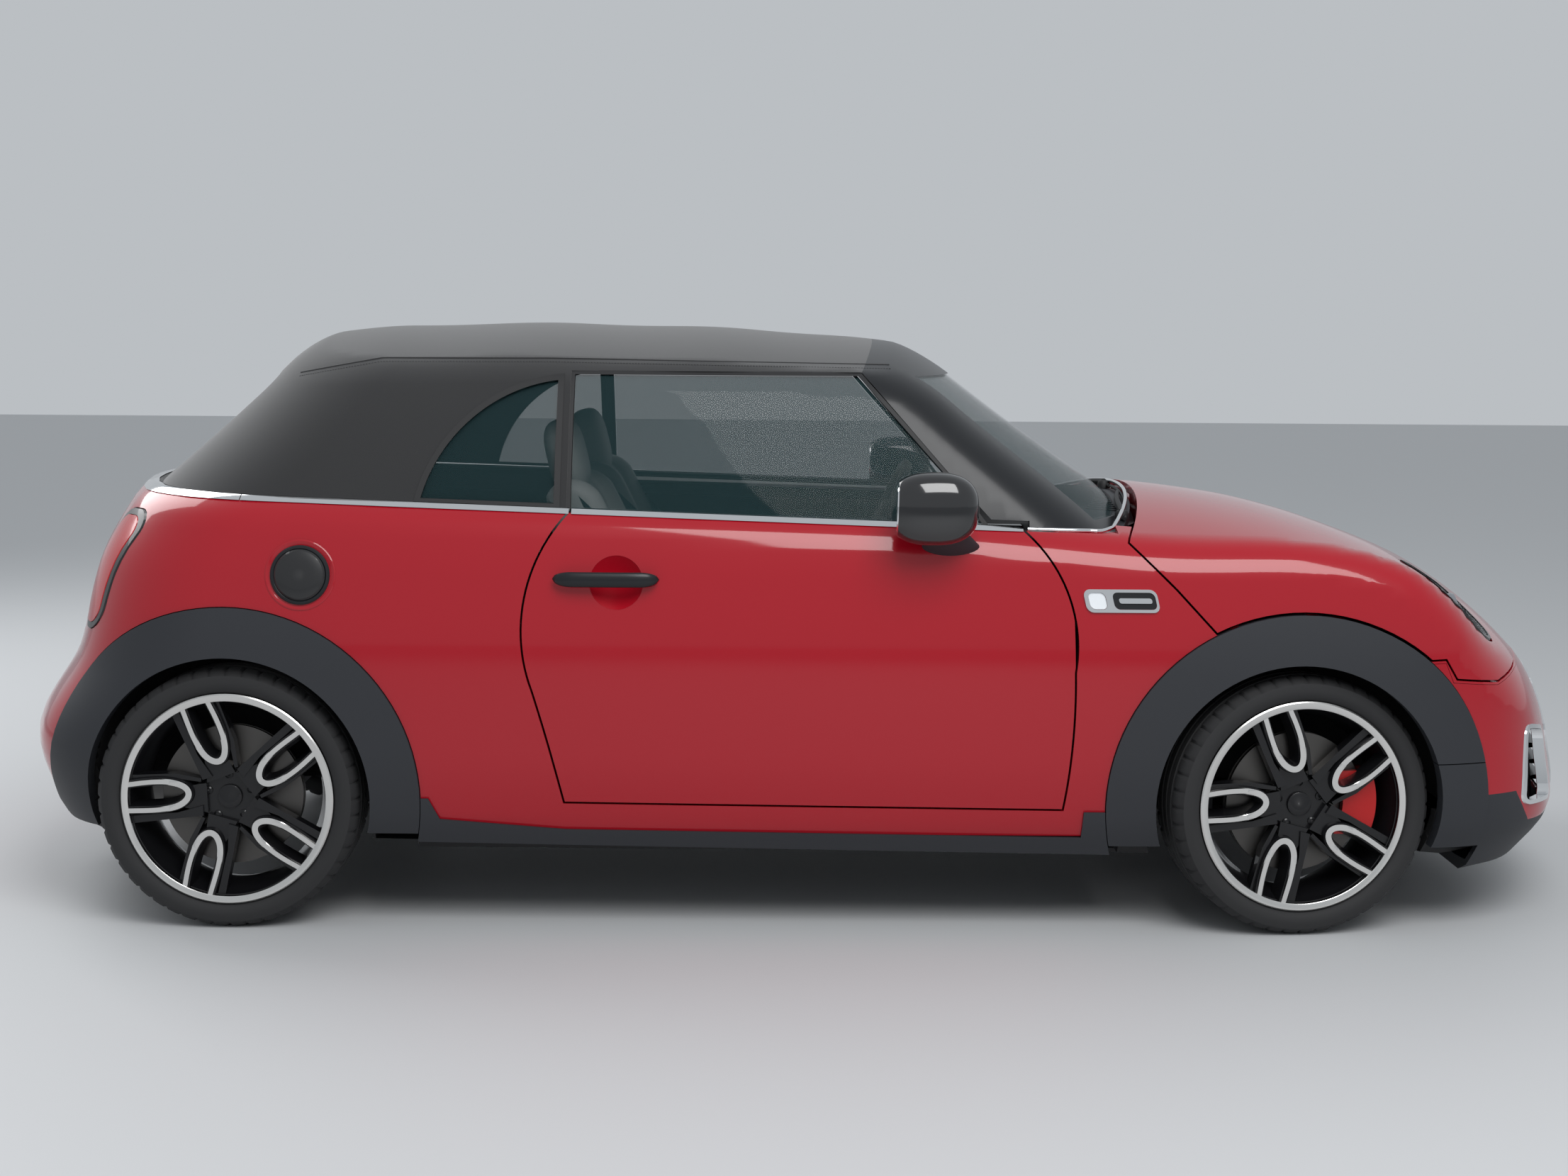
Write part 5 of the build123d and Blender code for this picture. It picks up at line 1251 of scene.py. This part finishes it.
piece("scuttle_frames", pair(scuttle_frame), "body", "chrome", chrome, stands_for=["side_vents"])
piece("scuttle_indicators", pair(indicator), "body", "lamp_clear", lamp_white)
piece("scuttle_infills", pair(infill), "body", "black_gloss", black_gloss)
piece("scuttle_bars", pair(bar), "body", "chrome", chrome)

# Grille: six gloss black bars across the bumper's opening, bowed with the nose, before a dark screen.
# Chromed surrounds are clipped round the opening and the two side intakes.
bar_count, bar_pitch, bar_low_z, bar_size = 6, 0.046, 0.290, (0.007, 0.013)
mesh_dark = finish("mesh_dark", (0.006, 0.006, 0.007), 0.45)


def nose_line(z, level, half, steps=40):
    """Points on the nose at a height, from right to left."""
    out = []
    for y in np.linspace(-half, half, steps):
        x = np.linspace(1.5, 2.0, 600)
        reach = form_distance(BODY_FORM, np.stack([x, 0 * x + y, 0 * x + z], 1))
        out.append((float(x[np.argmax(reach > level)]), y, z))
    return out


bar_level, bar_reach, edge_level = -0.034, 0.43, 0.004
low_line = nose_line(bar_low_z, bar_level, bar_reach)
high_line = nose_line(bar_low_z + bar_pitch * (bar_count - 1), bar_level, bar_reach)
lean_back = (high_line[20][0] - low_line[20][0]) / (bar_count - 1)
bar_rings = [[(x + bar_size[1] * math.cos(a), y, z + bar_size[0] * math.sin(a))
              for a in np.linspace(0, 2 * math.pi, 16, endpoint=False)] for x, y, z in low_line]
bars = repeated(skinned(bar_rings), row_tree, Count=bar_count, Step=(lean_back, 0, bar_pitch),
                Finish=black_gloss)
bars = inside(bars, prism(widened(grille_outline, -0.002), 1.6, past_nose_x, "x"))
piece("grille_bars", flat_shaded(bars), "body", "black_gloss", black_gloss, stands_for=["front_grille"])
screen_room = prism(widened(grille_outline, 0.02), 1.5, past_nose_x, "x")
grille_screen = inside(body_layer(-0.048, -0.052, {"columns": (90, 100), "rows": 80}), screen_room)
piece("grille_screen", flat_shaded(grille_screen), "body", "black_plastic", mesh_dark)
edge_skin = body_layer(edge_level, -0.020)
edges = []
for outline, outwards, inwards, rear_x in ((grille_outline, 0.004, -0.008, 1.6),
                                           (intake_outline, 0.003, -0.007, 1.5)):
    edge = inside(edge_skin, prism(widened(outline, outwards), rear_x, past_nose_x, "x"))
    edge = combined(edge, prism(widened(outline, inwards), 1.5, 2.2, "x"))
    on_form(edge, BODY_FORM, edge_level)
    edges.append(edge)
piece("grille_surrounds", joined(edges[0], pair(edges[1])), "body", "chrome", chrome)

# Cowl and wipers: a louvred tray of dark plastic, clipped under the windscreen's foot.
# Two steel wiper arms with rubber blades rest on it, pivoting on round bosses.
louvre_count, louvre_pitch, louvre_half, louvre_start_y = 29, 0.030, 0.0035, -0.42
cowl_tray = cad_copy("cowl")
louvre = prism(rectangle(0.700, 0.790, -louvre_half, louvre_half), 0.93, 0.99, "z")
louvres = repeated(moved(louvre, Matrix.Translation((0, louvre_start_y, 0))), row_tree, Count=louvre_count,
                   Step=(0, louvre_pitch, 0), Finish=mesh_dark)
louvres = inside(louvres, moved(cowl_tray, Matrix.Translation((0, 0, 0.0025))))
piece("cowl_tray", flat_shaded(cowl_tray), "body", "black_plastic", black_plastic, stands_for=["cowl"])
piece("cowl_louvres", flat_shaded(louvres), "body", "black_plastic", mesh_dark)


def tray_point(behind, y, above=0.0):
    """A point on the tray, at a distance behind the bonnet's bowed rear edge."""
    x = bonnet_rear_x - behind - (bonnet_rear_x - bonnet_corner_x) * (y / bonnet_edge_y) ** 2
    return np.array([x, y, crown_height(x, y) - tray_sink + above])


tray_sink, blade_behind, arm_behind, blade_radius = 0.026, 0.028, 0.036, 0.0045
boss = lathe([(0.0, 0.0), (0.017, 0.0), (0.017, 0.014), (0.013, 0.021), (0.0, 0.023)], 32)
wiper_meshes = []
for start, end, pivot in ((-0.560, 0.040, -0.520), (0.070, 0.560, 0.110)):
    blade = [tray_point(blade_behind, y, 0.010) for y in np.linspace(start, end, 24)]
    arm = [tray_point(arm_behind + 0.012 * math.sin(math.pi * t), y, 0.018 - 0.004 * t)
           for t, y in zip(np.linspace(0, 1, 16), np.linspace(pivot, (start + end) / 2 + 0.08, 16))]
    wiper_meshes += [tube(blade, blade_radius, 8), tube(arm, np.linspace(0.0085, blade_radius, 16), 10),
                     moved(boss, Matrix.Translation(tray_point(arm_behind, pivot)))]
piece("wiper_arms", joined(*wiper_meshes), "body", "black_plastic", seal_black, stands_for=["wipers"])

# Seats: moulded foam in pale leather, with raised side bolsters and sewn pleats, bolted to the floor on bases.
# The head restraints stand on chromed posts. The rear bench is one flat pad with a low back.
leather = grained(finish("seat_leather", (0.46, 0.465, 0.455), 0.5), 500, 0.25, 0.0004, 6)
seat_y, seat_half, base_half, bolster_rise, pad_corner = 0.365, 0.250, 0.19, 0.045, 0.036
seam_y, pleat_depth, fullness = 0.148, 0.006, 0.9
bolster_start, bolster_run, crown, crown_half = 0.115, 0.075, 0.010, 0.14


def upholstered(outline, lift, half, middle, bolster, seams, pleats):
    """A sewn pad: a side outline, raised towards its sides, rounded at its edges, with seams both ways."""
    p = np.array(outline)
    along = np.roll(p, -1, 0) - np.roll(p, 1, 0)
    along /= np.linalg.norm(along, axis=1)[:, None]
    area = np.sum(p[:, 0] * np.roll(p[:, 1], -1) - np.roll(p[:, 0], -1) * p[:, 1])
    normal = np.stack([along[:, 1], -along[:, 0]], 1) * (1 if area > 0 else -1)
    ys = list(np.linspace(-half + pad_corner, half - pad_corner, 36))
    ys += [s * (half - pad_corner + pad_corner * math.sin(a)) for s in (-1, 1)
           for a in np.linspace(0.1, 1.5, 8)]
    ys += [s + d for s in seams for d in np.linspace(-0.012, 0.012, 7)]
    across = np.array([0.0] * len(p))
    for index in pleats:
        distance = np.minimum(np.linalg.norm(p - p[index], axis=1), 0.1)
        across += np.exp(-(distance / 0.008) ** 2)
    rings = []
    for y in sorted(set(np.round(ys, 6))):
        edge = min(max(abs(y) - (half - pad_corner), 0), pad_corner)
        inset = pad_corner - math.sqrt(max(pad_corner ** 2 - edge ** 2, 0)) * 0.999
        t = min(max((abs(y) - bolster_start) / bolster_run, 0), 1)
        raised = bolster * t * t * (3 - 2 * t) + crown * math.cos(min(abs(y) / crown_half, 1) * math.pi / 2)
        seam = pleat_depth * sum(math.exp(-((abs(y) - abs(s)) / 0.005) ** 2) for s in set(np.abs(seams)))
        pleat = pleat_depth * across * (1 if abs(y) < seam_y - 0.003 or bolster == 0 else 0)
        offset = lift * (raised - seam - pleat) - inset
        rings.append([(x + n[0] * o, middle + y, z + n[1] * o) for (x, z), n, o in zip(p, normal, offset)])
    return flat_shaded(skinned(rings), 50)


cushion_arcs = (arc((0.020, 0.345), (0.068, 0.430), (0.020, 0.480), 12),
                arc((0.020, 0.480), (-0.170, 0.472), (-0.355, 0.450), 40),
                arc((-0.355, 0.450), (-0.408, 0.720), (-0.520, 0.985), 52),
                arc((-0.520, 0.985), (-0.560, 1.013), (-0.605, 0.985), 12))
seat_outline = [p for part in cushion_arcs for p in part]
seat_outline += [(-0.605, 0.985), (-0.560, 0.728), (-0.515, 0.470), (-0.475, 0.345), (-0.25, 0.345)]
seat_lift = np.array([0.1 + 0.9 * i / 12 for i in range(12)] + [1] * 92
                     + [1 - 0.9 * i / 12 for i in range(12)] + [0] * 5)
head_place = Matrix.Translation((-0.575, 0, 1.085)) @ Matrix.Rotation(math.radians(-14), 4, "Y")
for side, y in (("right", -seat_y), ("left", seat_y)):
    seat = upholstered(seat_outline, seat_lift, seat_half, y, bolster_rise, (-seam_y, seam_y),
                       (22, 32, 42, 66, 76, 86))
    head = moved(rounded_body((0, 0, 0), (0.046, 0.134, 0.094), 3.0, (64, 40)),
                 Matrix.Translation((0, y, 0)) @ head_place)
    posts = joined(*[tube([(-0.592, y + s, 1.02), (-0.588, y + s, 0.96)], 0.0065) for s in (-0.060, 0.060)])
    base = prism(rectangle(-0.40, 0.0, y - base_half, y + base_half), 0.262, 0.350, "z")
    piece("seat_" + side, seat, "body", "leather", leather, stands_for=["front_seats"])
    piece("head_restraint_" + side, head, "body", "leather", leather)
    piece("head_posts_" + side, posts, "body", "chrome", chrome)
    piece("seat_base_" + side, base, "body", "cabin_plastic", dark_inside)
bench_arcs = (arc((-0.660, 0.440), (-0.668, 0.470), (-0.700, 0.484), 6),
              arc((-0.700, 0.484), (-0.860, 0.482), (-1.010, 0.440), 34),
              arc((-1.010, 0.440), (-1.052, 0.680), (-1.110, 0.880), 40),
              arc((-1.110, 0.880), (-1.155, 0.905), (-1.200, 0.880), 12))
bench_outline = [p for part in bench_arcs for p in part]
bench_outline += [(-1.200, 0.880), (-1.090, 0.430), (-1.090, 0.421), (-0.855, 0.421), (-0.855, 0.262),
                  (-0.660, 0.262)]
bench_lift = np.array([0.3] * 6 + [1] * 34 + [1] * 40 + [1 - i / 12 for i in range(12)] + [0] * 6)
bench = upholstered(bench_outline, bench_lift, 0.488, 0.0, 0.0, (-0.155, 0.155, -0.31, 0.31, 0.0),
                    (14, 26, 52, 64, 76))
piece("rear_bench", bench, "body", "leather", leather, stands_for=["rear_seat"])

# Dashboard and console: dark moulded panels with round chromed vents and a round central dial.
# The three-spoked steering wheel turns on its column before the left-hand driver's seat.
cabin_trim = grained(finish("cabin_trim", (0.022, 0.022, 0.024), 0.6), 400, 0.3)
piece("dashboard_panel", flat_shaded(cad_copy("dashboard")), "body", "cabin_plastic", cabin_trim,
      stands_for=["dashboard"])
piece("console", flat_shaded(cad_copy("centre_console")), "body", "cabin_plastic", cabin_trim,
      stands_for=["centre_console"])
face_left = Matrix.Rotation(math.radians(-90), 4, "Y")
dial = lathe([(0.0, 0.0), (0.088, 0.0), (0.088, 0.010), (0.084, 0.016), (0.080, 0.014), (0.078, 0.008),
              (0.0, 0.008)], 64)
vent = lathe([(0.0, 0.0), (0.040, 0.0), (0.040, 0.012), (0.037, 0.015), (0.033, 0.010), (0.0, 0.006)], 48)
vents = [moved(vent, Matrix.Translation((0.346, y, 0.790)) @ face_left) for y in (-0.60, -0.16, 0.16, 0.60)]
dial = moved(dial, Matrix.Translation((0.345, 0, 0.795)) @ face_left)
piece("dashboard_dial", dial, "body", "chrome", chrome)
piece("dashboard_vents", joined(*vents), "body", "chrome", chrome)
wheel_at, rake, grip_radius = Vector((0.235, 0.365, 0.870)), math.radians(24), 0.171
wheel_axis = Vector((-math.cos(rake), 0, math.sin(rake)))
wheel_up = Vector((math.sin(rake), 0, math.cos(rake)))
wheel_side = Vector((0, 1, 0))
grip = tube([wheel_at + wheel_side * (grip_radius * math.cos(a)) + wheel_up * (grip_radius * math.sin(a))
             for a in np.linspace(0, 2 * math.pi, 72, endpoint=False)], 0.014, 16, True)
spoke_parts = [grip]
for a in (0, 180, 270):
    d = wheel_side * math.cos(math.radians(a)) + wheel_up * math.sin(math.radians(a))
    e = wheel_side * -math.sin(math.radians(a)) + wheel_up * math.cos(math.radians(a))
    rings = [[tuple(wheel_at + d * r + e * (w * math.cos(b)) + wheel_axis * (0.007 * math.sin(b)))
              for b in np.linspace(0, 2 * math.pi, 16, endpoint=False)]
             for r, w in ((0.030, 0.026), (0.070, 0.021), (0.120, 0.015), (0.166, 0.012))]
    spoke_parts.append(skinned(rings))
wheel_turn = Matrix((wheel_side, wheel_up, wheel_axis)).transposed().to_4x4()
wheel_turn.translation = wheel_at
boss_profile = [(0.0, -0.060), (0.030, -0.060), (0.034, -0.012), (0.060, -0.008), (0.062, 0.006),
                (0.054, 0.016), (0.0, 0.020)]
spoke_parts.append(moved(lathe(boss_profile, 48), wheel_turn))
piece("steering_wheel_rim", joined(*spoke_parts), "steering_wheel", "cabin_plastic", cabin_trim,
      stands_for=["steering_wheel"])

# Door tops: pale padded rolls along each door's inner edge, of foam under leather.
# They are glued to the door behind the belt strip.
roll_outer, roll_inner, roll_foot, roll_top = -0.0235, -0.052, -0.060, -0.004
roll_outline = [(x, belt_height(x) + offset) for x, offset in
                ((-0.500, roll_foot), (0.470, roll_foot), (0.490, roll_top), (-0.515, roll_top))]
door_roll = inside(body_layer(roll_outer, roll_inner, {"columns": (60, 150), "rows": 80}),
                   prism(roll_outline, -1.1, -0.5))
for side, mesh in (("right", door_roll), ("left", mirrored(door_roll))):
    on_form(mesh, BODY_FORM, roll_outer, roll_inner)
    piece("door_roll_" + side, mesh, "door_" + side, "leather", leather)

# Exhaust: a steel silencer box hung under the tail, with two bright round tips in the middle.
# The tips are open tubes pushed over the tailpipes.
worn_steel = finish("worn_steel", (0.20, 0.195, 0.19), 0.45, metallic=1.0)
tip_x, tip_y, tip_z = -1.927, 0.060, 0.262
piece("silencer", flat_shaded(cad_copy("exhaust")), "body", "steel", worn_steel, stands_for=["exhaust"])
tip = lathe([(0.0345, -0.004), (0.0385, -0.004), (0.0405, 0.0), (0.0405, 0.070), (0.0385, 0.072),
             (0.0385, 0.0)], 48)
facing_back = Matrix.Rotation(math.radians(90), 4, "Y")
tips = joined(*[moved(tip, Matrix.Translation((tip_x, y, tip_z)) @ facing_back) for y in (-tip_y, tip_y)])
piece("exhaust_tips", tips, "body", "chrome", chrome)

# Studio: a pale floor and two soft lamps under an even sky.
# The camera stands to the car's right at eye height.
floor = solid_object("studio_floor", prism(rectangle(-30, 30, -30, 30), -0.02, 0.0, "z"))
floor.data.materials.append(finish("floor_grey", (0.55, 0.56, 0.57), 0.6))
for name, where, size, power in (("key_lamp", (1.5, -5, 5.5), 4.0, 300), ("fill_lamp", (-5, 3, 4.5), 4.0, 180)):
    lamp = bpy.data.lights.new(name, "AREA")
    lamp.size, lamp.energy = size, power
    holder = solid_object(name, lamp)
    holder.location = where
    holder.rotation_euler = (Vector((0, 0, 0.6)) - Vector(where)).to_track_quat("-Z", "Y").to_euler()
world = bpy.data.worlds.new("studio_light")
scene.world = world
world.use_nodes = True
world.node_tree.nodes["Background"].inputs["Color"].default_value = (0.80, 0.84, 0.88, 1)
world.node_tree.nodes["Background"].inputs["Strength"].default_value = 0.62
camera = bpy.data.cameras.new("camera")
camera.lens, camera.sensor_width = 54.08, 36
viewer = solid_object("camera", camera)
viewer.matrix_world = (Matrix.Translation((-0.034, -6.23, 1.405)) @ Matrix.Rotation(math.radians(83.7), 4, "X")
                       @ Matrix.Rotation(math.radians(0.41), 4, "Z"))
scene.camera = viewer
scene.view_settings.view_transform = "Standard"
